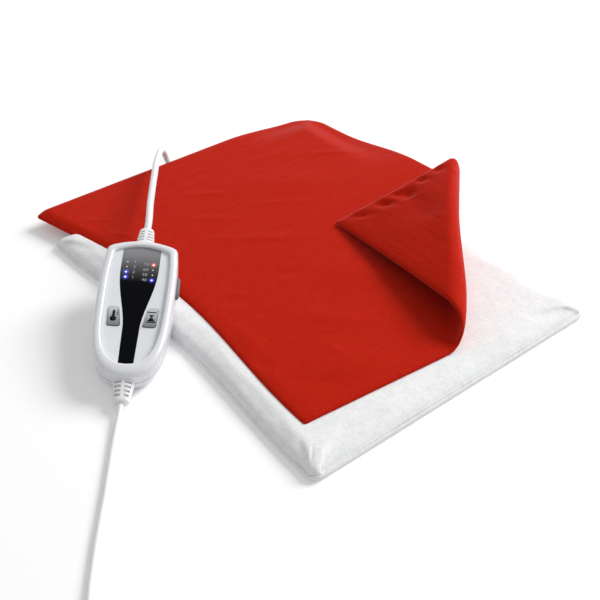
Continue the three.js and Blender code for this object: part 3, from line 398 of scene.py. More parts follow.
# %% Lead from the pad to the handset
PAD_LEAD_DIAMETER = 6.6
PARTING_HEIGHT = 12.2
CASE_LENGTH = 152
PAD_BOOT_LENGTH, MAINS_BOOT_LENGTH = 24, 19.5
SEAT_GAP = 0.3
pad_boot_tip = CASE_LENGTH + PAD_BOOT_LENGTH
pad_lead_route = [
    (8, 222.6, 5.6), (8, 231, 5.6), (8, 238, 5.8), (8, 244.4, 7.9), (7.6, 249.3, 12.3), (6.5, 251.8, 18.3),
    (4.2, 251.3, 24.5), (0.6, 248.2, 29.3), (-4.2, 243, 32.6), (-10.3, 236, 34.7), (-17.2, 227.8, 36.2),
    (-26.4, 216.6, 37.9), (-36.2, 202.9, 39.9), (-56.8, 174.6, 43.7), (-80.5, 142, 46.8),
    on_case(0, pad_boot_tip + 2 * PAD_LEAD_DIAMETER, PARTING_HEIGHT),
    on_case(0, pad_boot_tip + SEAT_GAP, PARTING_HEIGHT),
]
PAD_LEAD_POINTS = 38
pad_lead_line, pad_lead_length = line_through(pad_lead_route, PAD_LEAD_POINTS)
pad_lead = make_lead("pad_lead_tube", pad_lead_line, PAD_LEAD_DIAMETER, ["pad_lead"])
print(f"pad lead: {pad_lead_length:.0f} mm")

# %% Coil of spare mains lead
MAINS_DIAMETER = 5
COIL_MIDDLE = (-350, -256)
COIL_ENTRY = math.atan2(0.63, -0.775)
COIL_LOOPS = 8.25
COIL_PITCH = 5.6
COIL_INNER_RADIUS = 19.2
COIL_FLOOR = 3.7
COIL_STEPS = 24
SMALL_TURN = 0.01
COIL_TAIL, TAIL_RISE = 32, 0.7
PLUG_AXIS_HEIGHT = 6.95
coil_turn = 2 * math.pi * COIL_LOOPS


def coil_point(angle):
    radius = COIL_INNER_RADIUS + COIL_PITCH * abs(angle - coil_turn / 2) / (2 * math.pi)
    height = COIL_FLOOR + COIL_PITCH * float(smooth((angle - coil_turn / 2) / math.pi + 0.5))
    swing = COIL_ENTRY + angle
    x, y = COIL_MIDDLE
    return Vector((x + radius * math.cos(swing), y + radius * math.sin(swing), height))


def coil_heading(angle):
    step = coil_point(angle + SMALL_TURN) - coil_point(angle - SMALL_TURN)
    return Vector((step.x, step.y, 0)).normalized()


coil_loops = [coil_point(2 * math.pi * i / COIL_STEPS) for i in range(int(COIL_STEPS * COIL_LOOPS) + 1)]
coil_inward, coil_outward = coil_heading(0), coil_heading(coil_turn)
tail = []
for share in (TAIL_RISE / 2, TAIL_RISE, 1):
    point = coil_loops[-1] + coil_outward * COIL_TAIL * share
    point.z += (PLUG_AXIS_HEIGHT - point.z) * float(smooth(share / TAIL_RISE))
    tail.append(point)
print("coil:", len(coil_loops), "points,", COIL_LOOPS, "loops")

# %% Mains lead
coil_start = coil_loops[0] - coil_inward * (MAINS_DIAMETER + SEAT_GAP)
mains_route = [
    on_case(0, -MAINS_BOOT_LENGTH - SEAT_GAP, PARTING_HEIGHT),
    on_case(0, -MAINS_BOOT_LENGTH - 2 * MAINS_DIAMETER, PARTING_HEIGHT),
    (-253, -67.5, 2.9), (-269, -88, 2.7), (-290, -115, 2.7), (-314, -145, 2.7), (-338, -177, 2.7),
    (-360, -208, 2.8), coil_start - coil_inward * 2 * MAINS_DIAMETER, coil_start,
]
RUN_POINTS = 20
run_line, run_length = line_through(mains_route, RUN_POINTS)
mains_line = np.vstack([run_line, coil_loops, tail])
mains_lead = make_lead("mains_lead_tube", mains_line, MAINS_DIAMETER, ["mains_lead_run", "mains_lead_coil"])

# %% [markdown]
# ## Felt
# The pad is two layers of needled felt sealed at the edge. Felt is a tangle of fibres, so the bump
# adds thin streaks of noise in four directions and keeps the highest, which gives crossing strands
# instead of grains. Slow noise makes the cloudy patches that loosely needled felt has.

# %% Felt finish
felt_finish = Finish("needled_white_felt", {
    "Roughness": 0.95, "Sheen Weight": 0.1, "Sheen Roughness": 0.6, "Specular IOR Level": 0.05,
})
felt_place = felt_finish.place()
STRAND = (260.0, 2600.0, 1400.0)
STRAND_TURNS = [(0.35 * step, 0.2, 0.4 + step * math.pi / 4) for step in range(4)]
strands = felt_finish.streaks(felt_place, STRAND, 3, STRAND_TURNS[0])
for strand_turn in STRAND_TURNS[1:]:
    strands = strands.at_least(felt_finish.streaks(felt_place, STRAND, 3, strand_turn))
clouds = felt_finish.grain(felt_place, 110, 4)
patches = felt_finish.grain(felt_place, 340, 3)
shade = felt_finish.ramp(clouds * 0.3 + patches * 0.4 + strands * 0.4, 0.35, 0.75)
felt_finish.put({"Base Color": felt_finish.mix(shade, colour(232, 234, 236), colour(252, 252, 252))})
felt_finish.bump(strands * 0.5 + patches * 0.5 + clouds * 0.3, 0.0005, 0.7)
print("felt strands are", round(1 / STRAND[1] / MM, 2), "mm wide")

# %% Outline of the pad
PAD_WIDTH, PAD_LENGTH = 320, 400
PAD_CORNER = 9
PAD_LEFT_DRAW_IN, PAD_RIGHT_DRAW_IN = 12, 4


def pad_outline(corner_steps=12, spacing=5.0):
    """The pad's edge, counter-clockwise: round corners, and long sides that are drawn in."""
    points = []
    for corner, (sign_x, sign_y) in enumerate(((1, 1), (-1, 1), (-1, -1), (1, -1))):
        middle = np.array([sign_x * (PAD_WIDTH / 2 - PAD_CORNER), sign_y * (PAD_LENGTH / 2 - PAD_CORNER)])
        for step in range(corner_steps + 1):
            turn = (corner + step / corner_steps) * math.pi / 2
            points.append(middle + PAD_CORNER * np.array([math.cos(turn), math.sin(turn)]))
    filled = []
    for point, following in zip(points, points[1:] + points[:1]):
        parts = max(1, round(np.linalg.norm(following - point) / spacing))
        filled += [point + (following - point) * k / parts for k in range(parts)]
    edge = np.array(filled)
    pull = np.cos(np.pi * edge[:, 1] / PAD_LENGTH) ** 2 * np.abs(edge[:, 0]) / (PAD_WIDTH / 2)
    edge[:, 0] += np.where(edge[:, 0] < 0, PAD_LEFT_DRAW_IN, -PAD_RIGHT_DRAW_IN) * pull
    return edge


pad_edge = pad_outline()


def pad_ring(inset, height):
    scale = np.array([1 - inset / (PAD_WIDTH / 2), 1 - inset / (PAD_LENGTH / 2)])
    return np.column_stack([pad_edge * scale, np.full(len(pad_edge), float(height))])


print("pad edge:", len(pad_edge), "points")

# %% [markdown]
# ## The top felt swells
# A soft pad is never a clean block: its edge is puffed and a little uneven. The skin is lofted
# slightly small with a few shallow dents, then Blender's cloth solver blows it up under a light
# pressure while its middle and underside are held. The movement is capped, so that the felt stays
# under the cover that slides over it.

# %% Blowing a skin up with the cloth solver
def swell(piece, held, pressure, cap, frames=20):
    """Runs the cloth solver on a piece whose points with held 1 stay put, and keeps the result."""
    mesh = piece.data
    before = np.empty(len(mesh.vertices) * 3)
    mesh.vertices.foreach_get("co", before)
    group = piece.vertex_groups.new(name="held")
    for index, weight in enumerate(held):
        group.add([index], float(weight), "REPLACE")
    cloth = piece.modifiers.new("swell", "CLOTH")
    cloth.settings.vertex_group_mass = group.name
    cloth.settings.use_pressure = True
    cloth.settings.uniform_pressure_force = pressure
    cloth.settings.effector_weights.gravity = 0
    cloth.settings.bending_stiffness = 2.0
    cloth.point_cache.frame_end = frames
    for number in range(1, frames + 1):
        scene.frame_set(number)
    swollen = piece.evaluated_get(bpy.context.evaluated_depsgraph_get())
    after = np.empty(len(before))
    swollen.data.vertices.foreach_get("co", after)
    move = (after - before).reshape(-1, 3)
    size = np.linalg.norm(move, axis=1, keepdims=True)
    move *= np.minimum(1, cap * MM / np.maximum(size, 1e-9))
    piece.modifiers.remove(cloth)
    piece.vertex_groups.remove(group)
    mesh.vertices.foreach_set("co", before + move.ravel())
    mesh.update()
    scene.frame_set(1)
    print(f"{piece.name} swelled by up to {min(size.max() / MM, cap):.2f} mm")


# %% Rings of the top felt
FELT_SEAM = 5.2
SEAM_LIP, SEAM_SETBACK = 0.1, 0.8
EDGE_REACH, EDGE_TOP, EDGE_FOOT = 13, 13.1, 5.5
CAVITY_INSET, CAVITY_TOP = 16, 8.7
FELT_CEILING = 14.1
SIM_SHRINK = 0.7
CROWN_INSETS = [EDGE_REACH, 28.8, 64, 115.2, 160]
CROWN_HEIGHTS = [EDGE_TOP, 13.45, 13.85, 14.0, 14.0]
top_rings = []
for inset in (150, 135, 120, 105, 92, 80, 70, 61, 53, 46, 40, 34.5, 29.5, 25, 21, 17.5, 15):
    top_rings.append(pad_ring(inset, np.interp(inset, CROWN_INSETS, CROWN_HEIGHTS)))
for sine, cosine in quarter_round(12)[1:]:
    drop = (EDGE_TOP - EDGE_FOOT) * (1 - cosine)
    top_rings.append(pad_ring(EDGE_REACH * (1 - sine), EDGE_TOP - drop))
top_rings.append(pad_ring(SEAM_LIP, FELT_SEAM + SEAM_LIP))
open_rings = len(top_rings) + 1
top_rings += [pad_ring(inset, FELT_SEAM) for inset in (SEAM_SETBACK, 6, 11, CAVITY_INSET)]
top_rings += [pad_ring(inset, CAVITY_TOP) for inset in (CAVITY_INSET + 0.5, 40, 80, 120, 150)]
top_rings = np.array(top_rings)
print("top felt:", len(top_rings), "rings")

# %% Room for the gland, and shallow dents
# The gland's flat tongue passes under the back edge, so the felt is lifted clear of it there
GLAND_X, TONGUE_HALF, TONGUE_START = 8, 10, 173
SIDE_CLEARANCE, LIFT_RUN = 3, 4
under = top_rings[open_rings - 1:]
beside = smooth((TONGUE_HALF + SIDE_CLEARANCE - np.abs(under[..., 0] - GLAND_X)) / SIDE_CLEARANCE)
by_gland = beside * smooth((under[..., 1] - TONGUE_START) / LIFT_RUN)
under[..., 2] = np.maximum(under[..., 2], FELT_SEAM + (CAVITY_TOP - FELT_SEAM) * by_gland)

DENT_SCALE, DENT_START, DENT_MEAN = 0.022, Vector((3, 7, 1)), 0.6
uneven = np.array([noise.noise(Vector(p) * DENT_SCALE + DENT_START) for p in top_rings.reshape(-1, 3)])
ring_number = np.repeat(np.arange(len(top_rings)), len(pad_edge))
outer = ring_number < open_rings
top_points, top_faces = loft(top_rings)
top_points = np.array(top_points)
shell = top_points[:len(uneven)]
shell[outer, 2] -= SIM_SHRINK * (DENT_MEAN + uneven[outer])
shell[outer, :2] *= 1 - SIM_SHRINK / (PAD_WIDTH / 2)
top_shape = (top_points, top_faces)
top_felt = make_piece("top_felt", top_shape, felt_finish, stands_for=["pad_top_felt"])

# %% Swelling it
HOLD_INSET = 90
MOST_SWELL = 1.6
SWELL_PRESSURE = 4.0
inset_of_ring = np.array([PAD_WIDTH / 2 - r[:, 0].max() for r in top_rings])
held = np.ones(len(top_points))
free_ring = (np.arange(len(top_rings)) < open_rings - 1) & (inset_of_ring < HOLD_INSET)
held[:len(uneven)] = np.where(free_ring[ring_number], 0.0, 1.0)
swell(top_felt, held, SWELL_PRESSURE, MOST_SWELL)
for vertex in top_felt.data.vertices:
    vertex.co.z = min(vertex.co.z, FELT_CEILING * MM)

# %% Bottom felt
BOTTOM_TOP, BOTTOM_ROUND = 5.0, 2
bottom_rings = [pad_ring(inset, BOTTOM_TOP) for inset in (150, 120, 80, 40, 16, 6, SEAM_SETBACK)]
bottom_rings.append(pad_ring(SEAM_LIP, BOTTOM_TOP - SEAM_LIP))
for sine, cosine in quarter_round(6)[::-1]:
    bottom_rings.append(pad_ring(BOTTOM_ROUND * (1 - sine), BOTTOM_ROUND * (1 - cosine)))
bottom_rings += [pad_ring(inset, 0.0) for inset in (8, 20, 40, 80, 120, 150)]
bottom_felt = make_piece(
    "bottom_felt", loft(bottom_rings), felt_finish, stands_for=["pad_bottom_felt"],
)

# %% [markdown]
# ## Cotton
# The cover is smooth woven cotton. Its threads are too fine to count from here, so the weave is two
# crossed sine waves in the cloth's own coordinates, roughened by slubs: stretches where a thread is
# thicker. Longer streaks of noise make faint slanting creases, and a sheen makes the cloth lighter
# where it turns away, as cotton fuzz does.

# %% Cotton finish
cotton_finish = Finish("red_woven_cotton", {
    "Sheen Weight": 0.3, "Sheen Roughness": 0.22, "Sheen Tint": (1.0, 0.84, 0.88, 1.0),
    "Specular IOR Level": 0.03,
})
THREAD_PITCH = 0.0007
SLUB_LONG, SLUB_FINE = 90, 1500
CREASE_TURN, CREASE_SCALE = 0.62, (8, 110, 1)
weave_place = cotton_finish.node("UVMap", {"uv_map": "weave"})
thread_turns = 2 * math.pi / THREAD_PITCH
warp, weft = ((cotton_finish.along(weave_place, axis) * thread_turns).sine() for axis in (0, 1))
slub_across = cotton_finish.streaks(weave_place, (SLUB_LONG, SLUB_FINE, 1), 2)
slub_along = cotton_finish.streaks(weave_place, (SLUB_FINE, SLUB_LONG, 1), 2)
slubs = slub_across * 0.5 + slub_along * 0.5
red = cotton_finish.mix(cotton_finish.ramp(slubs, 0.36, 0.64), colour(187, 30, 11), colour(198, 36, 15))
cotton_finish.put({"Base Color": red, "Roughness": cotton_finish.ramp(slubs, 0.35, 0.65, 0.7, 0.56)})
creases = cotton_finish.streaks(weave_place, CREASE_SCALE, 3, (0, 0, CREASE_TURN))
cotton_finish.bump(warp * weft * 0.35 + slubs * 0.7 + creases * 6, 0.00022, 0.8)
print("cotton has", round(1 / THREAD_PITCH / 100), "threads a centimetre each way")

# %% [markdown]
# ## The cover
# Cloth keeps its area when it is bent, so the cover is drawn as a flat cut of two numbers, u across
# and v along, and one function says where each point of it lies: flat on the pad, rolled over a
# slanting line near one corner, and drooping where it overhangs. Wrinkles and puckers are added to
# that function, and both faces are offset from it.

# %% Sizes of the cut and of its fold
COVER_WIDTH, COVER_LENGTH = 348, 400
COVER_CORNER = (-133.7, -157.2)
COVER_TURN = math.radians(-0.3)
COVER_LEVEL = 15.1
LEFT_DRAW_IN, RIGHT_DRAW_IN, LEFT_REACH = 16, 16, 24
TIP_REACH, FRONT_REACH = 42, 14.5
FRONT_ACROSS, FRONT_ALONG = 170, 110
FOLD_FRONT, FOLD_BACK = 144, 202
# The roll's section is three arcs at either end of the fold, each a radius and a turn in degrees
ROLL_FRONT = [(10, 53.2), (8.5, 51), (10.1, 104.8)]
ROLL_BACK = [(19, 91.3), (76.3, 20.3), (4.7, 83.9)]
DROOP, DROOP_REACH = 9, 34
HEM_DROP, TURN_DOWN = 12, 3.4
HEM_LEAST, HEM_FROM, HEM_RUN = 0.25, 150, 200
fold_line = np.array([COVER_WIDTH - FOLD_FRONT, FOLD_BACK], float)
fold_length = np.linalg.norm(fold_line)
fold_line /= fold_length
fold_outward = np.array([fold_line[1], -fold_line[0]])
print(f"the fold is {fold_length:.0f} mm long")

# %% Where the cloth lies
def fold_place(u, v):
    """How far a point of the cut lies past the fold's line and along it."""
    share = v / COVER_LENGTH
    left = LEFT_DRAW_IN * np.sin(np.pi * share) ** 2 - LEFT_REACH * share ** 4
    tip = TIP_REACH * np.clip(1 - v / FOLD_BACK, 0, 1) ** 2
    right = tip - RIGHT_DRAW_IN * smooth((v - FOLD_BACK) / (COVER_LENGTH - FOLD_BACK))
    drawn = u + left + (right - left) * u / COVER_WIDTH
    past = (drawn - FOLD_FRONT) * fold_outward[0] + v * fold_outward[1]
    return past, (drawn - FOLD_FRONT) * fold_line[0] + v * fold_line[1]


def turned_down(u, v):
    """The hem that hangs down along the left side, most of all at the far tip."""
    towards_tip = HEM_LEAST + (1 - HEM_LEAST) * smooth((v - HEM_FROM) / HEM_RUN)
    return smooth((HEM_DROP - u) / HEM_DROP) * towards_tip


def cloth_middle(u, v):
    """The middle of the cloth in millimetres."""
    past, along_fold = fold_place(u, v)
    share = along_fold / fold_length
    reach, spare = np.minimum(past, 0), np.maximum(past, 0)
    rise, heading = np.zeros_like(past), np.zeros_like(past)
    for (front_radius, front_turn), (back_radius, back_turn) in zip(ROLL_FRONT, ROLL_BACK):
        radius = front_radius + (back_radius - front_radius) * share
        turn = np.minimum(spare / radius, np.radians(front_turn + (back_turn - front_turn) * share))
        reach = reach + radius * (np.sin(heading + turn) - np.sin(heading))
        rise = rise + radius * (np.cos(heading) - np.cos(heading + turn))
        heading = heading + turn
        spare = spare - radius * turn
    reach, rise = reach + spare * np.cos(heading), rise + spare * np.sin(heading)
    x = FOLD_FRONT + along_fold * fold_line[0] + reach * fold_outward[0]
    y = along_fold * fold_line[1] + reach * fold_outward[1]
    c, s = math.cos(COVER_TURN), math.sin(COVER_TURN)
    x, y = x * c - y * s + COVER_CORNER[0], x * s + y * c + COVER_CORNER[1]
    forward = np.clip((x - COVER_CORNER[0]) / FRONT_ACROSS, 0, 1.2)
    y = y - FRONT_REACH * forward * smooth(1 - (y - COVER_CORNER[1]) / FRONT_ALONG)
    over_side = smooth((x - PAD_WIDTH / 2) / DROOP_REACH) * smooth((y - PAD_LENGTH / 5) / (PAD_LENGTH / 4))
    over_end = smooth((y - PAD_LENGTH / 2) / DROOP_REACH) * smooth((x - PAD_WIDTH / 4) / (PAD_WIDTH / 3))
    droop = DROOP * np.maximum(over_side, over_end) + TURN_DOWN * turned_down(u, v)
    return np.stack([x, y, COVER_LEVEL + rise - np.where(past > 0, 0, droop)], axis=-1)


tip_place = cloth_middle(np.array([float(COVER_WIDTH)]), np.zeros(1))[0]
print("the turned-back tip lies at", tip_place.round(1), "mm")

# %% Wrinkles, puckers and the sewn edge
# Each fold is a soft ridge, or a valley, from (u, v) to (u, v): its height and half width
WRINKLES = [
    ((251, 333), (322, 282), 0.6, 4.5), ((112, 340), (159, 302), 0.6, 5), ((88, 293), (129, 261), 0.55, 5),
    ((77, 179), (123, 144), -0.9, 7), ((24, 166), (52, 145), -0.7, 5), ((18, 355), (36, 343), 0.7, 4),
    ((20, 324), (32, 300), 0.7, 4), ((7, 89), (14, 64), -1.0, 6), ((18, 36), (56, 22), -1.2, 8),
    ((66, 66), (71, 40), 0.6, 4), ((15, 135), (20, 89), 0.8, 6), ((71, 256), (172, 182), 0.8, 7),
    ((145, 282), (218, 232), 0.6, 6), ((200, 350), (290, 330), 0.3, 8), ((60, 120), (120, 60), 0.9, 9),
    ((20, 60), (110, 12), 1.4, 20), ((110, 150), (190, 100), 1.2, 22), ((150, 330), (260, 250), 1.2, 24),
]
# Dents on the turned-back corner, which the gathered seam makes
DENTS = [
    ((345, 12), (330, 26), 2.2, 4), ((344, 36), (326, 48), 3.2, 5), ((345, 54), (335, 60), 2.4, 4),
    ((344, 66), (320, 60), 3.6, 7), ((345, 80), (334, 86), 2.8, 4.5), ((345, 98), (336, 106), 2.2, 5),
    ((326, 62), (272, 49), 2.2, 14), ((272, 49), (227, 18), 1.2, 14),
]
HEM_WIDTH = 7.0
PUFF = 1.3
CLOTH_HALF, HEM_THIN = 0.8, 0.75
FOLD_START, FOLD_RUN, LYING_RUN = 4, 20, 14
RIDGE_END = 0.08


def fold_height(folds, u, v):
    total = np.zeros_like(u)
    for start, end, height, half_width in folds:
        du, dv = u - start[0], v - start[1]
        span_u, span_v = end[0] - start[0], end[1] - start[1]
        t = (du * span_u + dv * span_v) / (span_u**2 + span_v**2)
        within = np.clip(t, 0, 1)
        aside = np.hypot(du - span_u * within, dv - span_v * within)
        taper = np.sin(np.pi * np.clip(t, RIDGE_END, 1 - RIDGE_END))
        total += height * np.exp(-(aside / half_width) ** 2) * taper
    return total


def edge_distance(u, v):
    return np.minimum(np.minimum(u, COVER_WIDTH - u), np.minimum(v, COVER_LENGTH - v))


print(len(WRINKLES), "wrinkles and", len(DENTS), "dents")

# %% Both faces of the cloth
COVER_COLUMNS, COVER_ROWS = 176, 202
CORNER_RADII = {(False, False): 2, (True, False): 3, (False, True): 4, (True, True): 30}


def rounded_cut(u, v):
    """Moves the points of a square grid so that the cut has round corners."""
    u, v = u.copy(), v.copy()
    for (right, back), radius in CORNER_RADII.items():
        cu = COVER_WIDTH - radius if right else radius
        cv = COVER_LENGTH - radius if back else radius
        du = np.maximum((u - cu) * (1 if right else -1), 0)
        dv = np.maximum((v - cv) * (1 if back else -1), 0)
        scale = np.where((du > 0) & (dv > 0), np.maximum(du, dv) / np.maximum(np.hypot(du, dv), 1e-9), 1)
        u = np.where(scale < 1, cu + (u - cu) * scale, u)
        v = np.where(scale < 1, cv + (v - cv) * scale, v)
    return u, v


columns, rows = np.linspace(0, COVER_WIDTH, COVER_COLUMNS), np.linspace(0, COVER_LENGTH, COVER_ROWS)
grid_u, grid_v = np.meshgrid(columns, rows)
hem = edge_distance(grid_u, grid_v)
cut_u, cut_v = rounded_cut(grid_u, grid_v)
middle = cloth_middle(cut_u, cut_v)
STEP = 0.5
slope_u = cloth_middle(cut_u + STEP, cut_v) - cloth_middle(cut_u - STEP, cut_v)
slope_v = cloth_middle(cut_u, cut_v + STEP) - cloth_middle(cut_u, cut_v - STEP)
normal = np.cross(slope_u, slope_v)
normal /= np.linalg.norm(normal, axis=-1, keepdims=True)
past_fold = fold_place(cut_u, cut_v)[0]
turned_back = smooth((past_fold - FOLD_START) / FOLD_RUN)
rounding = np.sqrt(np.clip(1 - (1 - np.clip(hem / HEM_WIDTH, 0, 1)) ** 2, 0, 1))
lying = fold_height(WRINKLES, cut_u, cut_v) * smooth((LYING_RUN - past_fold) / (2 * LYING_RUN))
dents = fold_height(DENTS, cut_u, cut_v) * turned_back
half = CLOTH_HALF * (HEM_THIN + (1 - HEM_THIN) * rounding)
upper_rise = half + (PUFF * rounding + lying) * (1 - turned_back) + dents
lower_rise = half + PUFF * rounding * turned_back - dents
upper = middle + normal * upper_rise[..., None]
lower = middle - normal * lower_rise[..., None]
lowest = min(upper[..., 2].min(), lower[..., 2].min())
print(f"cloth grid {COVER_COLUMNS} by {COVER_ROWS}, lowest {lowest:.1f} mm")

# %% Sewing them together
def sheet_faces(columns, rows):
    """Quads of two grids and of the strip that joins their edges."""
    grid = np.arange(columns * rows).reshape(rows, columns)
    corners = (grid[:-1, :-1], grid[:-1, 1:], grid[1:, 1:], grid[1:, :-1])
    top = np.stack(corners, axis=-1).reshape(-1, 4)
    rim = np.concatenate([grid[0, :-1], grid[:-1, -1], grid[-1, :0:-1], grid[:0:-1, 0]])
    under = columns * rows
    side = np.column_stack([rim, rim + under, np.roll(rim, -1) + under, np.roll(rim, -1)])
    return np.vstack([top, top[:, ::-1] + under, side]).tolist()


cover_points = np.vstack([upper.reshape(-1, 3), lower.reshape(-1, 3)])
cover_shape = (cover_points, sheet_faces(COVER_COLUMNS, COVER_ROWS))
cover = make_piece(
    "cotton_cover", cover_shape, cotton_finish, "loose_cover", stands_for=["cover"],
)
cut = np.column_stack([np.tile(cut_u.ravel(), 2), np.tile(cut_v.ravel(), 2)]) * MM
weave = cover.data.uv_layers.new(name="weave")
corner_points = np.empty(len(cover.data.loops), int)
cover.data.loops.foreach_get("vertex_index", corner_points)
weave.data.foreach_set("uv", cut[corner_points].ravel())

# %% [markdown]
# ## Handset plastics
# The case is glossy moulded plastic, the face is satin silver paint and the window is a black lens.
# Moulded plastic is never perfectly flat: a very weak, slow bump makes its reflections wander a
# little, and the gloss varies by a hair from handling.

# %% Case and face finishes
def moulded(name, dark, light, gloss, peel, coat):
    """A moulded or painted plastic: a cloudy colour, a gloss that varies, and a faint peel."""
    finish = Finish(name, {"Coat Weight": coat, "Coat Roughness": 0.12})
    place = finish.place()
    cloud = finish.grain(place, 45, 3)
    finish.put({
        "Base Color": finish.mix(cloud, colour(*dark), colour(*light)),
        "Roughness": finish.ramp(finish.grain(place, 130, 4), 0.3, 0.7, gloss * 0.85, gloss * 1.2),
    })
    finish.bump(finish.grain(place, 420, 2), peel)
    return finish


case_finish = moulded("glossy_white_case", (222, 223, 229), (234, 235, 239), 0.24, 0.00002, 0.5)
silver_finish = moulded("satin_silver_face", (222, 226, 230), (233, 236, 239), 0.4, 0.00003, 0.1)
switch_finish = moulded("dark_switch_plastic", (92, 98, 98), (108, 114, 114), 0.55, 0.00008, 0.0)
print_finish = moulded("black_button_print", (6, 6, 7), (14, 14, 15), 0.5, 0.00002, 0.0)
print_finish.put({"Specular IOR Level": 0.1})
numeral_finish = moulded("grey_window_print", (150, 153, 158), (176, 179, 184), 0.5, 0.00002, 0.0)
print("case finish:", len(case_finish.tree.nodes), "nodes")

# %% [markdown]
# ## The case
# The case is two moulded shells that meet at a parting line. Its outline is a bottle shape: round at
# the mains end, wide at the shoulders and gently arched at the top. Bezier curves draw one half, the
# other is its mirror, and each shell is a loft of that outline moved in or out.

# %% Outline of the case
CASE_HALF, CASE_TOP_HALF = 34, 32.25


def bezier(start, first, second, end, count):
    t = np.linspace(0, 1, count, endpoint=False)[:, None]
    start, first, second, end = (np.array(p, float) for p in (start, first, second, end))
    return (1 - t)**3 * start + 3 * (1 - t)**2 * t * first + 3 * (1 - t) * t**2 * second + t**3 * end


def case_outline(side, low, high):
    """The case's outline with its sides and its two ends moved in, counter-clockwise from the foot."""
    half, top = CASE_HALF, CASE_TOP_HALF
    legs = [
        ((0, 0), (half * 0.68, 0), (half * 0.91, 0.13), (half * 0.955, 0.35), 36),
        ((half * 0.955, 0.35), (half * 0.99, 0.5), (half * 1.03, 0.75), (top * 0.997, 0.905), 30),
        ((top * 0.997, 0.905), (top * 0.995, 0.945), (top * 0.93, 0.955), (top * 0.78, 0.967), 12),
        ((top * 0.78, 0.967), (top * 0.5, 0.99), (top * 0.2, 1), (0, 1), 14),
    ]
    right = np.vstack([bezier(*leg) for leg in legs] + [np.array([[0, 1.0]])])
    outline = np.vstack([right, right[-2:0:-1] * (-1, 1)])
    scale = ((half - side) / half, CASE_LENGTH - low - high)
    return outline * scale + (0, low)


def case_ring(side, low, high, height):
    """A ring of the case. Its height may be a number or a function of the place along the case."""
    flat = case_outline(side, low, high)
    heights = height(flat[:, 1]) if callable(height) else np.full(len(flat), float(height))
    return np.column_stack([flat, heights])


def under_face(depth):
    """The height of the sloping face less a depth, as a function of the place along the case."""
    return lambda y: CASE_HEIGHT - FACE_BOTTOM_DEPTH + (y - RIM_BOTTOM) * math.tan(face_slope) - depth


print("case outline:", len(case_outline(0, 0, 0)), "points")

# %% Upper shell
RIM = 7.6
WALL = 2.2
ROUND_SIDE, ROUND_FOOT = 4.6, 8.5
LIP_ROUND = 2.0
PARTING_GAP, PARTING_CHAMFER = 0.15, 0.5
LEDGE_DEPTH, LEDGE_UNDERSIDE, LEDGE_WIDTH = 1.8, 3.2, 1.6
chamfer = (PARTING_CHAMFER,) * 3
upper_rings = [case_ring(*chamfer, PARTING_HEIGHT + PARTING_GAP)]
for height in (PARTING_HEIGHT + PARTING_CHAMFER, 14.5, 17.5, 20, CASE_HEIGHT - ROUND_SIDE):
    upper_rings.append(case_ring(0, 0, 0, height))
for sine, cosine in quarter_round(9)[1:]:
    side, foot = ROUND_SIDE * (1 - cosine), ROUND_FOOT * (1 - cosine)
    upper_rings.append(case_ring(side, foot, side, CASE_HEIGHT - ROUND_SIDE * (1 - sine)))
for sine, cosine in quarter_round(5):
    back = LIP_ROUND * (1 - sine)
    height = CASE_HEIGHT - LIP_ROUND * (1 - cosine)
    upper_rings.append(case_ring(RIM - back, RIM_BOTTOM - back, RIM - back, height))
for depth in (-SEAT_GAP, LEDGE_DEPTH / 2, LEDGE_DEPTH):
    upper_rings.append(case_ring(RIM, RIM_BOTTOM, RIM, under_face(depth)))
ledge = RIM + LEDGE_WIDTH
for side, depth in ((ledge, LEDGE_DEPTH), (ledge, LEDGE_UNDERSIDE), (WALL + 1, LEDGE_UNDERSIDE)):
    upper_rings.append(case_ring(side, side + RIM, side, under_face(depth)))
upper_rings += [case_ring(WALL, WALL, WALL, z) for z in (16, PARTING_HEIGHT + PARTING_GAP)]
make_piece(
    "upper_case", loft(upper_rings, loop=True), case_finish, place=case_frame,
    stands_for=["handset_top_case"],
)

# %% Lower shell
FOOT_ROUND = 9
FLOOR_INSETS = [(30, 68), (24, 44), (17, 24), (11, 13)]
inner_round = FOOT_ROUND - WALL
lower_rings = [case_ring(side, end, end, 0) for side, end in FLOOR_INSETS]
for sine, cosine in quarter_round(10):
    inward = FOOT_ROUND * (1 - sine)
    lower_rings.append(case_ring(inward, inward, inward, FOOT_ROUND * (1 - cosine)))
lower_rings += [case_ring(0, 0, 0, z) for z in (10.5, PARTING_HEIGHT - PARTING_CHAMFER)]
lower_rings.append(case_ring(*chamfer, PARTING_HEIGHT - PARTING_GAP))
lower_rings += [case_ring(WALL, WALL, WALL, z) for z in (PARTING_HEIGHT - PARTING_GAP, FOOT_ROUND)]
for sine, cosine in quarter_round(5)[::-1]:
    inward = WALL + inner_round * (1 - sine)
    lower_rings.append(case_ring(inward, inward, inward, WALL + inner_round * (1 - cosine)))
lower_rings += [case_ring(side, end, end, WALL) for side, end in FLOOR_INSETS[-2::-1]]
make_piece(
    "lower_case", loft(lower_rings), case_finish, place=case_frame,
    stands_for=["handset_bottom_case"],
)

# %% [markdown]
# ## The face
# The face is a silver panel with a funnel-shaped black window let into it and a button either side.
# These are flat things with a definite outline, so each is a plate cut from its outline, with the
# edges rounded by a bevel.

# %% Outlines on the face
WINDOW_SHOULDER, WINDOW_WAIST, WINDOW_FOOT = 106, 42, 1.8
WINDOW_TOP_HALF, WINDOW_WAIST_HALF, WINDOW_FOOT_HALF = 16.8, 7.2, 6.3
PANEL_GAP = 0.1
KEY_GAP = 0.45
face_outline = case_outline(RIM + PANEL_GAP, RIM_BOTTOM + PANEL_GAP, RIM + PANEL_GAP) - (0, RIM_BOTTOM)


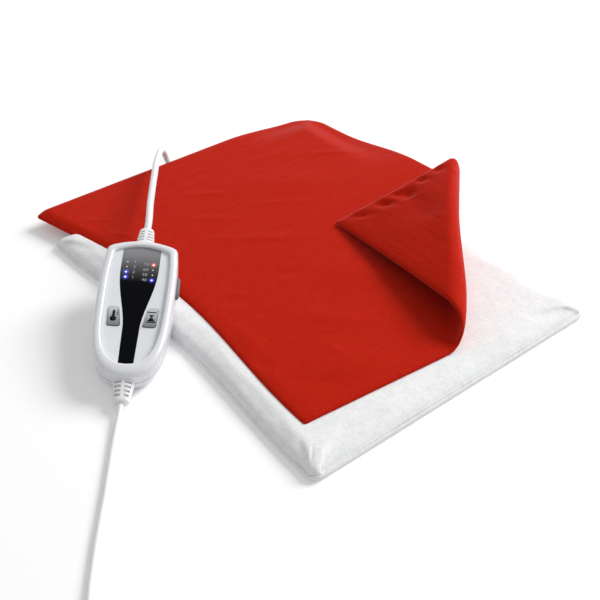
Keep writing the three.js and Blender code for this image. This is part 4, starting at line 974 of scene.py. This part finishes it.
def window_side(grow):
    """The right-hand edge of the window, from its foot to its shoulder."""
    foot, waist, top = (x + grow for x in (WINDOW_FOOT_HALF, WINDOW_WAIST_HALF, WINDOW_TOP_HALF))
    rise = WINDOW_SHOULDER - WINDOW_WAIST
    swell_out = bezier((waist, WINDOW_WAIST), (waist + 1.2, WINDOW_WAIST + rise * 0.3),
                       (top - 0.4, WINDOW_WAIST + rise * 0.6), (top, WINDOW_SHOULDER), 20)
    return np.vstack([[(foot, WINDOW_FOOT - grow)], swell_out, [(top, WINDOW_SHOULDER)]])


def arch_height(x):
    """The height of the face outline's arch at a place across it."""
    arch = face_outline[(face_outline[:, 1] > WINDOW_SHOULDER) & (np.abs(face_outline[:, 0]) < 24)]
    arch = arch[np.argsort(arch[:, 0])]
    return float(np.interp(x, arch[:, 0], arch[:, 1]))


def window_outline():
    right = window_side(0)
    arch = [(x, arch_height(x)) for x in np.linspace(WINDOW_TOP_HALF, -WINDOW_TOP_HALF, 21)]
    return np.vstack([right, arch, right[::-1] * (-1, 1)])


def panel_outline():
    right = window_side(PANEL_GAP)
    cut = WINDOW_TOP_HALF + PANEL_GAP
    kept = [p for p in face_outline if abs(p[0]) > cut or p[1] < WINDOW_SHOULDER]
    start = next(i for i in range(len(kept)) if kept[i][0] < -cut and kept[i - 1][0] > cut)
    around = kept[start:] + kept[:start]
    ends = [(-cut, arch_height(-cut))], [(cut, arch_height(cut))]
    return np.vstack([ends[0], around, ends[1], right[::-1], right * (-1, 1)])


print("panel outline:", len(panel_outline()), "points, window outline:", len(window_outline()), "points")

# %% Outline of a button
BUTTON_CORNERS = [(9.6, 41.5), (20.4, 41.5), (21.4, 62), (13.2, 62)]
BUTTON_ROUND = 2
BUTTON_PROUD = 1.1


def button_outline(hand, grow):
    """A key with four rounded corners, on the left (-1) or right (1) of the window."""
    middle_point = np.mean(BUTTON_CORNERS, axis=0)
    corners = [np.array(c) + np.sign(np.array(c) - middle_point) * grow for c in BUTTON_CORNERS]
    points = []
    for i, corner in enumerate(corners):
        towards = [corners[i - 1] - corner, corners[(i + 1) % 4] - corner]
        start, end = (corner + d / np.linalg.norm(d) * (BUTTON_ROUND + grow) for d in towards)
        for t in np.linspace(0, 1, 8):
            points.append((1 - t)**2 * start + 2 * t * (1 - t) * corner + t**2 * end)
    points = np.array(points) * (hand, 1)
    return points if hand > 0 else points[::-1]


print("button outline:", len(button_outline(1, 0)), "points")

# %% Panel and buttons
BRUSH_SCALE, BRUSH_DEPTH = (200, 3000, 200), 0.2
PANEL_BOTTOM, KEY_BOTTOM = -1.5, -0.95
PANEL_EDGE, KEY_EDGE = 0.15, 0.5
button_finish = moulded("silver_button_paint", (150, 154, 159), (178, 182, 187), 0.42, 0.00003, 0.1)
button_place = button_finish.place()
button_low, button_high = (BUTTON_CORNERS[corner][1] * MM for corner in (0, 2))
# The buttons' grey is darker towards their lower end and lighter towards their upper end: painted shade,
# with the brushing streaks laid over it.
button_painted_shade = button_finish.ramp(button_finish.along(button_place, 1), button_low, button_high)
brushed = button_finish.streaks(button_place, BRUSH_SCALE, 2)
brushing_and_painted_shade = button_painted_shade + brushed * BRUSH_DEPTH - BRUSH_DEPTH / 2
button_grey_painted_shade = button_finish.mix(brushing_and_painted_shade, colour(118, 122, 127), colour(196, 200, 204))
button_finish.put({"Base Color": button_grey_painted_shade})
panel_loops = [panel_outline(), button_outline(-1, KEY_GAP), button_outline(1, KEY_GAP)]
face_panel = make_piece(
    "silver_face", plate(panel_loops, PANEL_BOTTOM, 0), silver_finish, place=face_frame,
    stands_for=["face_panel"],
)
soften(face_panel, PANEL_EDGE)
for key, hand in (("temperature", -1), ("time", 1)):
    key_shape = plate([button_outline(hand, 0)], KEY_BOTTOM, BUTTON_PROUD)
    button = make_piece(
        f"{key}_key", key_shape, button_finish, body=f"{key}_key", place=face_frame,
        stands_for=[f"{key}_button"],
    )
    soften(button, KEY_EDGE, 4)

# %% Places of the lamps
LAMP_ROWS, LAMP_COLUMN, LAMP_TOP, LAMP_PITCH, LAMP_RADIUS = 4, 11.7, 112, 6, 0.8
TIME_RISE = 2.4
BLUE, RED = colour(84, 92, 255), colour(255, 70, 40)
lit = {"time_led_1": BLUE, "time_led_2": BLUE, "temperature_led_1": BLUE, "temperature_led_4": RED}
lamp_columns = (("time", -LAMP_COLUMN, LAMP_TOP + TIME_RISE), ("temperature", LAMP_COLUMN, LAMP_TOP))
lamps = {}
for column, x, top in lamp_columns:
    for row in range(LAMP_ROWS):
        lamps[f"{column}_led_{LAMP_ROWS - row}"] = (x, top - row * LAMP_PITCH)
print(len(lamps), "lamps,", len(lit), "lit")

# %% Window finish, with a painted reflection near its top and the glow of the lit lamps
WINDOW_PROUD = 0.1
REFLECTION_START, REFLECTION_END = 80, 132
REFLECTION_GREYS = [(0.0, 7), (0.12, 10), (0.3, 52), (0.6, 92), (1.0, 146)]
GLOW_REACH, GLOW_FALL, GLOW_SHARE = 4.3, 2.0, 0.8
window_finish = Finish("black_window_lens", {
    "Roughness": 0.16, "Specular IOR Level": 0.03, "Emission Strength": 1.0,
})
window_place = window_finish.place()
# The window's base colour turns from black to light grey towards its top: a painted reflection of soft
# light.
reflection_climb = window_finish.ramp(window_finish.along(window_place, 1), REFLECTION_START * MM, REFLECTION_END * MM)
stops = [(place, colour(shade, shade, shade + 3)) for place, shade in REFLECTION_GREYS]
window_finish.put({"Base Color": window_finish.node("ValToRGB", {"stops": stops}, {0: reflection_climb})})
glow_colour = colour(0, 0, 0)
for name, light in lit.items():
    lamp_place = Vector((*lamps[name], WINDOW_PROUD)) * MM
    away = window_finish.node(
        "VectorMath", {"operation": "DISTANCE"}, {0: window_place, 1: lamp_place}, 1,
    )
    share = window_finish.ramp(away, GLOW_REACH * MM, LAMP_RADIUS * MM) ** GLOW_FALL * GLOW_SHARE
    glow_colour = window_finish.mix(share, glow_colour, light)
window_finish.put({"Emission Color": glow_colour})
window_finish.bump(window_finish.grain(window_place, 300, 2), 0.00001)
print("window finish:", len(window_finish.tree.nodes), "nodes")

# %% Window
LAMP_POINTS, LAMP_GAP = 20, 0.1
WINDOW_EDGE = 0.08


def circle(x, y, radius):
    turns = np.linspace(0, 2 * np.pi, LAMP_POINTS, endpoint=False)
    return np.column_stack([x + radius * np.cos(turns), y + radius * np.sin(turns)])


window_loops = [window_outline()] + [circle(x, y, LAMP_RADIUS + LAMP_GAP) for x, y in lamps.values()]
window = make_piece(
    "window_lens", plate(window_loops, PANEL_BOTTOM, WINDOW_PROUD), window_finish,
    place=face_frame, stands_for=["display_window"],
)
soften(window, WINDOW_EDGE)

# %% Lamps
def lamp_finish(name, light, strength):
    finish = Finish(name, {"Roughness": 0.25, "Emission Strength": strength})
    core = finish.ramp(finish.grain(finish.place(), 500, 1), 0.2, 0.8)
    finish.put({"Base Color": finish.mix(core, light, colour(240, 242, 246))})
    finish.put({"Emission Color": finish.mix(core * 0.35 + 0.4, light, colour(255, 255, 255))})
    return finish


lamp_finishes = {
    "blue_lamp": lamp_finish("lit_blue_lamp", BLUE, 1.6),
    "red_lamp": lamp_finish("lit_red_lamp", RED, 1.6),
    # The unlit lamps get a faint glow of their own as well: painted light on lenses that are not lit.
    "clear_lamp": lamp_finish("unlit_lamp_lens_painted_glow", colour(205, 208, 214), 0.25),
}
CLEAR_SHARE = 0.75
LAMP_LEVELS = (-1.4, -0.7, WINDOW_PROUD)
DOME_HEIGHT = 0.35
for name, (x, y) in lamps.items():
    slot = {BLUE: "blue_lamp", RED: "red_lamp"}.get(lit.get(name), "clear_lamp")
    radius = LAMP_RADIUS if name in lit else LAMP_RADIUS * CLEAR_SHARE
    levels = [(radius, level) for level in LAMP_LEVELS]
    for sine, cosine in quarter_round(6)[1:-1]:
        levels.append((radius * cosine, WINDOW_PROUD + DOME_HEIGHT * sine))
    rings = [np.column_stack([circle(x, y, r), np.full(LAMP_POINTS, level)]) for r, level in levels]
    make_piece(f"{name}_lens", loft(rings), lamp_finishes[slot], place=face_frame, stands_for=[name])

# %% [markdown]
# ## Prints
# The buttons carry a thermometer and an hourglass, and plain numbers stand beside the lamps. They
# are thin plates that stand a little proud, so they also show from the side and in the exported
# mesh. The numbers come from Blender's own font.

# %% Icons on the buttons
def join_shapes(shapes):
    points, faces = [], []
    for more_points, more_faces in shapes:
        faces += [tuple(i + len(points) for i in face) for face in more_faces]
        points += list(more_points)
    return points, faces


PRINT_LOW, PRINT_HIGH = BUTTON_PROUD - 0.06, BUTTON_PROUD + 0.05
ICON_SCALE = 1.3
BULB_RADIUS, BULB_HEIGHT = 2.2, -2.6
STEM_RADIUS, STEM_HEIGHT = 0.9, 3.6
neck_turn = math.asin(STEM_RADIUS / BULB_RADIUS)


def arc(radius, height, start, end, count):
    turns = np.linspace(start, end, count)
    return np.column_stack([radius * np.cos(turns), height + radius * np.sin(turns)])


bulb = arc(BULB_RADIUS, BULB_HEIGHT, math.pi / 2 + neck_turn, 2.5 * math.pi - neck_turn, 24)
thermometer = [np.vstack([bulb, arc(STEM_RADIUS, STEM_HEIGHT, 0, math.pi, 10)])]
thermometer += [np.array([(1.7, y), (3.2, y), (3.2, y + 0.6), (1.7, y + 0.6)]) for y in (0.4, 1.9, 3.4)]
hourglass = [
    np.array([(-3.0, -4.6), (3.0, -4.6), (3.0, -3.8), (-3.0, -3.8)]),
    np.array([(-2.6, -3.5), (2.6, -3.5), (0.5, -0.2), (-0.5, -0.2)]),
    np.array([(-0.5, 0.1), (0.5, 0.1), (1.7, 1.9), (-1.7, 1.9)]),
    np.array([(-3.0, 3.6), (3.0, 3.6), (3.0, 4.4), (-3.0, 4.4)]),
]
button_middle = np.mean(BUTTON_CORNERS, axis=0)
for key, hand, icon in (("temperature", -1, thermometer), ("time", 1, hourglass)):
    outlines = [loop * ICON_SCALE + button_middle * (hand, 1) for loop in icon]
    shape = join_shapes([plate([loop], PRINT_LOW, PRINT_HIGH) for loop in outlines])
    make_piece(f"{key}_icon", shape, print_finish, body=f"{key}_key", place=face_frame)

# %% Numbers beside the lamps
NUMBER_HEIGHT, HEIGHT_PER_SIZE = 3.3, 0.7
NUMBER_OUT, NUMBER_HALF_DEPTH = 6.6, 0.05
WELD_WITHIN = 1e-4
HEAT_BASE, HEAT_STEP = 30, 10


def number_shape(text, x, y):
    """Points and faces of a number, centred on a place on the face."""
    data = bpy.data.curves.new("number", "FONT")
    data.body = text
    data.size = NUMBER_HEIGHT / HEIGHT_PER_SIZE
    data.align_x = "CENTER"
    data.align_y = "CENTER"
    data.extrude = NUMBER_HALF_DEPTH
    data.resolution_u = 3
    maker = bpy.data.objects.new("number", data)
    scene.collection.objects.link(maker)
    bpy.context.view_layer.update()
    mesh = bpy.data.meshes.new_from_object(maker.evaluated_get(bpy.context.evaluated_depsgraph_get()))
    work = bmesh.new()
    work.from_mesh(mesh)
    bmesh.ops.remove_doubles(work, verts=work.verts, dist=WELD_WITHIN)
    points = [(v.co.x + x, v.co.y + y, v.co.z + WINDOW_PROUD) for v in work.verts]
    faces = [tuple(v.index for v in face.verts) for face in work.faces]
    work.free()
    bpy.data.objects.remove(maker)
    bpy.data.meshes.remove(mesh)
    return points, faces


numbers = []
for row in range(1, LAMP_ROWS + 1)[::-1]:
    (time_x, time_y), (heat_x, heat_y) = lamps[f"time_led_{row}"], lamps[f"temperature_led_{row}"]
    numbers.append(number_shape(str(row), time_x + NUMBER_OUT, time_y))
    numbers.append(number_shape(str(HEAT_BASE + HEAT_STEP * row), heat_x - NUMBER_OUT, heat_y))
make_piece("window_numbers", join_shapes(numbers), numeral_finish, place=face_frame)

# %% [markdown]
# ## Side switch and strain reliefs
# The switch is a dark pad that slides along the case's right wall. The strain reliefs are tapered
# soft boots with a row of slots on either side of a spine, so that they bend with the lead. Each ring
# of the boot is a rounded rectangle whose points sink to the core where a slot crosses it.

# %% Side switch
KNOB_MIDDLE, KNOB_HEIGHT_AT = 104, 15.6
KNOB_HALF_LENGTH, KNOB_HALF_HEIGHT, KNOB_REACH = 12, 4, 2.5
KNOB_POWERS, KNOB_POINTS, KNOB_GAP = (0.55, 0.7), 96, 0.1
KNOB_NARROWING, KNOB_TOP_SHARES = 0.34, (0.45, 0.2)
GRIP_DEPTH, GRIP_PITCH, GRIP_HALF, GRIP_FADE = 0.22, 2.6, 7.5, 2
WALL_NEAR = 20


def squared_round(half_width, half_height, powers, count):
    """An ellipse whose corners are filled out by a power each way, as its two rows of coordinates."""
    turns = np.linspace(0, 2 * np.pi, count, endpoint=False)
    c, s = np.cos(turns), np.sin(turns)
    return (half_width * np.sign(c) * np.abs(c) ** powers[0],
            half_height * np.sign(s) * np.abs(s) ** powers[1])


knob_y, knob_z = squared_round(KNOB_HALF_LENGTH, KNOB_HALF_HEIGHT, KNOB_POWERS, KNOB_POINTS)
wall = case_outline(0, 0, 0)
wall_x = wall[(wall[:, 0] > 0) & (np.abs(wall[:, 1] - KNOB_MIDDLE) < WALL_NEAR), 0].max()
# Each ring is a share of the outline, at a share of the reach out of the wall
knob_steps = [(1 - KNOB_NARROWING * (1 - cosine), sine) for sine, cosine in quarter_round(12)]
knob_steps += [(share, 1) for share in KNOB_TOP_SHARES]
knob_rings = []
for share, out in knob_steps:
    y, z = knob_y * share, knob_z * share
    grip = GRIP_DEPTH * np.cos(y * 2 * np.pi / GRIP_PITCH) * smooth((GRIP_HALF - np.abs(y)) / GRIP_FADE)
    x = wall_x + KNOB_GAP + (KNOB_REACH + grip) * out
    knob_rings.append(np.column_stack([x, KNOB_MIDDLE + y, KNOB_HEIGHT_AT + z]))
make_piece(
    "side_switch", loft(knob_rings), switch_finish, body="power_switch", place=case_frame,
    stands_for=["power_switch_knob"],
)

# %% Strain reliefs
ROOT_WIDTH, TIP_WIDTH, ROOT_HEIGHT, TIP_HEIGHT = 8.8, 6.5, 8, 4.6
SHOULDER = 2.4
SLOTS, SLOT_WIDTH, SLOT_PITCH, SLOTS_FROM_TIP = 4, 1.9, 3.9, 18.1
SLOT_WALL, SPINE, SLOT_EDGE = 1.3, 1.4, 0.18
BOOT_POWERS, BOOT_POINTS, BOOT_STEPS = (2 / 2.6, 2 / 2.6), 144, 48
ROOT_SINK, TIP_FLATNESS, POCKET_EDGE = 1.2, 0.4, 0.4
CORE_WALL, CORE_LEAST = 0.5, 1.0
SHARP_FROM = math.radians(50)


def relief_rings(lead_diameter, end, direction, length):
    """Rings of a slotted boot that stands on an end of the case. Sizes are half widths and heights."""
    slot_lows = length - SLOTS_FROM_TIP + SLOT_PITCH * np.arange(SLOTS)
    edges = np.concatenate([slot_lows, slot_lows + SLOT_WIDTH])
    near_edges = [edges - SLOT_EDGE, edges, edges + SLOT_EDGE]
    runs = np.unique(np.concatenate([np.linspace(-ROOT_SINK, length, BOOT_STEPS)] + near_edges))
    rings = []
    for run in runs:
        rounded = np.clip((run - length + SHOULDER) / SHOULDER, 0, 1)
        inset = SHOULDER * (1 - math.sqrt(1 - rounded**2))
        half_width = np.interp(run, [0, length], [ROOT_WIDTH, TIP_WIDTH]) - inset
        half_height = np.interp(run, [0, length], [ROOT_HEIGHT, TIP_HEIGHT]) - TIP_FLATNESS * inset
        x, z = squared_round(half_width, half_height, BOOT_POWERS, BOOT_POINTS)
        into_slot = np.minimum(run - slot_lows, slot_lows + SLOT_WIDTH - run).max()
        opened = float(smooth(into_slot / (2 * SLOT_EDGE) + 0.5))
        off_spine = smooth((np.abs(x) - SPINE) / POCKET_EDGE)
        pocket = off_spine * smooth((half_width - SLOT_WALL - np.abs(x)) / POCKET_EDGE)
        core = np.sqrt(np.maximum((lead_diameter / 2 + CORE_WALL) ** 2 - x**2, CORE_LEAST))
        z += np.sign(z) * np.minimum(core - np.abs(z), 0) * pocket * opened
        rings.append(np.column_stack([x, np.full(len(x), end + direction * run), PARTING_HEIGHT + z]))
    return rings


boot_ends = (
    ("pad", PAD_LEAD_DIAMETER, CASE_LENGTH, 1, PAD_BOOT_LENGTH),
    ("mains", MAINS_DIAMETER, 0, -1, MAINS_BOOT_LENGTH),
)
for end_name, *boot_size in boot_ends:
    boot = make_piece(
        f"{end_name}_relief_boot", loft(relief_rings(*boot_size)), lead_finish,
        place=case_frame, stands_for=[f"{end_name}_side_strain_relief"],
    )
    boot.data.set_sharp_from_angle(angle=SHARP_FROM)

# %% [markdown]
# ## Plug, tie and inner parts
# The plug lies beside the coil. It is a soft block that narrows into its own boot, a loft of rounded
# rectangles. What sits inside the handset and the pad keeps its packed shape and gets a finish of
# its own, so that it looks right if someone takes the model apart.

# %% Plug
PLUG_STATIONS = np.array([
    (0, 3.3, 3.3, 2), (14, 4.75, 4.75, 2), (21, 10.5, 6.45, 3), (29.75, 12.5, 6.85, 4), (48.2, 13, 6.85, 4),
    (49, 12.2, 6.05, 4),
])
PLUG_RUN = np.concatenate([np.linspace(0, 47.6, 44), [48.2, 48.5, 48.8, 49]])
PLUG_POINTS = 64
WAIST_DEPTH, WAIST_MIDDLE, WAIST_HALF = 0.7, 36, 5
plug_rings = []
for y in PLUG_RUN:
    half_w, half_h, power = (np.interp(y, PLUG_STATIONS[:, 0], PLUG_STATIONS[:, k]) for k in (1, 2, 3))
    waist = WAIST_DEPTH * math.exp(-((y - WAIST_MIDDLE) / WAIST_HALF) ** 2)
    x, z = squared_round(half_w - waist, half_h, (2 / power, 2 / power), PLUG_POINTS)
    plug_rings.append(np.column_stack([x, np.full(len(x), y), z]))
plug_turn = Matrix.Rotation(math.atan2(coil_outward.y, coil_outward.x) - math.pi / 2, 4, "Z")
plug_frame = Matrix.Translation((tail[-1] + coil_outward * SEAT_GAP) * MM) @ plug_turn
plug = make_piece(
    "mains_plug", loft(plug_rings), lead_finish, place=plug_frame, stands_for=["plug_body"],
)

# %% Finishes of the parts that keep their packed shape
SCRATCH_SCALE, SCRATCH_TURN = (300, 4000, 300), 0.6
pins_finish = Finish("bright_plated_pin", {"Metallic": 1.0})
scratches = pins_finish.streaks(pins_finish.place(), SCRATCH_SCALE, 3, (0, 0, SCRATCH_TURN))
pins_finish.put({
    "Base Color": pins_finish.mix(scratches, colour(190, 192, 196), colour(214, 215, 218)),
    "Roughness": pins_finish.ramp(scratches, 0.3, 0.7, 0.2, 0.36),
})
black_finish = moulded("matt_black_component", (24, 24, 26), (34, 34, 37), 0.6, 0.00005, 0.0)
board_finish = moulded("green_solder_mask", (26, 84, 52), (36, 100, 64), 0.4, 0.00003, 0.2)
wire_finish = moulded("red_brown_insulation", (150, 74, 54), (168, 86, 64), 0.5, 0.00004, 0.0)
glass_finish = moulded("fuse_glass_tube", (214, 222, 226), (232, 238, 240), 0.1, 0.00001, 0.6)
BLACK_NODES = [
    "thermal_cutout", "slide_switch_body", "temperature_tact_switch", "time_tact_switch",
    "microcontroller", "triac", "film_capacitor", "cord_tie",
]
METAL_NODES = ["plug_pin_1", "plug_pin_2"] + [f"case_screw_{i}" for i in range(1, 5)]
kept = {
    "pad_lead_gland": case_finish, "heater_carrier": felt_finish, "heating_wire": wire_finish,
    "circuit_board": board_finish, "fuse": glass_finish,
}
kept.update(dict.fromkeys(BLACK_NODES, black_finish))
kept.update(dict.fromkeys(METAL_NODES, pins_finish))
for node, finish in kept.items():
    materials = frame["nodes"][node].data.materials
    materials.clear()
    materials.append(finish.material)
print("finished", len(kept), "kept nodes")

# %% [markdown]
# ## Floor and light
# The photograph has a white ground and soft light from the right-hand side. The world gives even
# light, one large area lamp gives the direction, and together they light a white card to about
# white. The floor adds a little of its own light for the camera alone, so that the ground is white
# while the shadow stays.

# %% World and lamp
world = bpy.data.worlds.new("studio")
scene.world = world
world.use_nodes = True
sky = Graph(world.node_tree)
SKY_LIGHT = 0.45
backdrop = world.node_tree.nodes["Background"]
sky.feed(backdrop.inputs["Color"], (1, 1, 1, 1))
sky.feed(backdrop.inputs["Strength"], sky.seen_directly() * (1 - SKY_LIGHT) + SKY_LIGHT)

LAMP_PLACE, LAMP_AIM = Vector((3.0, -0.2, 2.25)), Vector((0, 0, 0.02))
LAMP_WIDTH, LAMP_WATTS = 2.0, 130
lamp_data = bpy.data.lights.new("soft_lamp", "AREA")
lamp_data.shape = "DISK"
lamp_data.size = LAMP_WIDTH
lamp_data.energy = LAMP_WATTS
lamp = bpy.data.objects.new("soft_lamp", lamp_data)
scene.collection.objects.link(lamp)
lamp.location = LAMP_PLACE
lamp.rotation_euler = (LAMP_AIM - LAMP_PLACE).to_track_quat("-Z", "Y").to_euler()
print("lamp", lamp_data.energy, "W")

# %% Floor
FLOOR_HALF, FLOOR_LEVEL = 6.0, -0.0002
FLOOR_GLOW = 0.14
FLOOR_SIGNS = ((-1, -1), (1, -1), (1, 1), (-1, 1))
floor_mesh = bpy.data.meshes.new("floor")
floor_corners = [(x * FLOOR_HALF, y * FLOOR_HALF, FLOOR_LEVEL) for x, y in FLOOR_SIGNS]
floor_mesh.from_pydata(floor_corners, [], [(0, 1, 2, 3)])
floor = bpy.data.objects.new("floor", floor_mesh)
scene.collection.objects.link(floor)
floor_finish = Finish("white_ground", {
    "Base Color": colour(250, 250, 250), "Roughness": 0.9, "Specular IOR Level": 0.1,
})
glow = floor_finish.mix(floor_finish.seen_directly(), (0, 0, 0, 1), (FLOOR_GLOW,) * 3 + (1,))
floor_finish.put({"Emission Color": glow, "Emission Strength": 1.0})
floor_mesh.materials.append(floor_finish.material)
print("floor:", 2 * FLOOR_HALF, "m wide")

# %% [markdown]
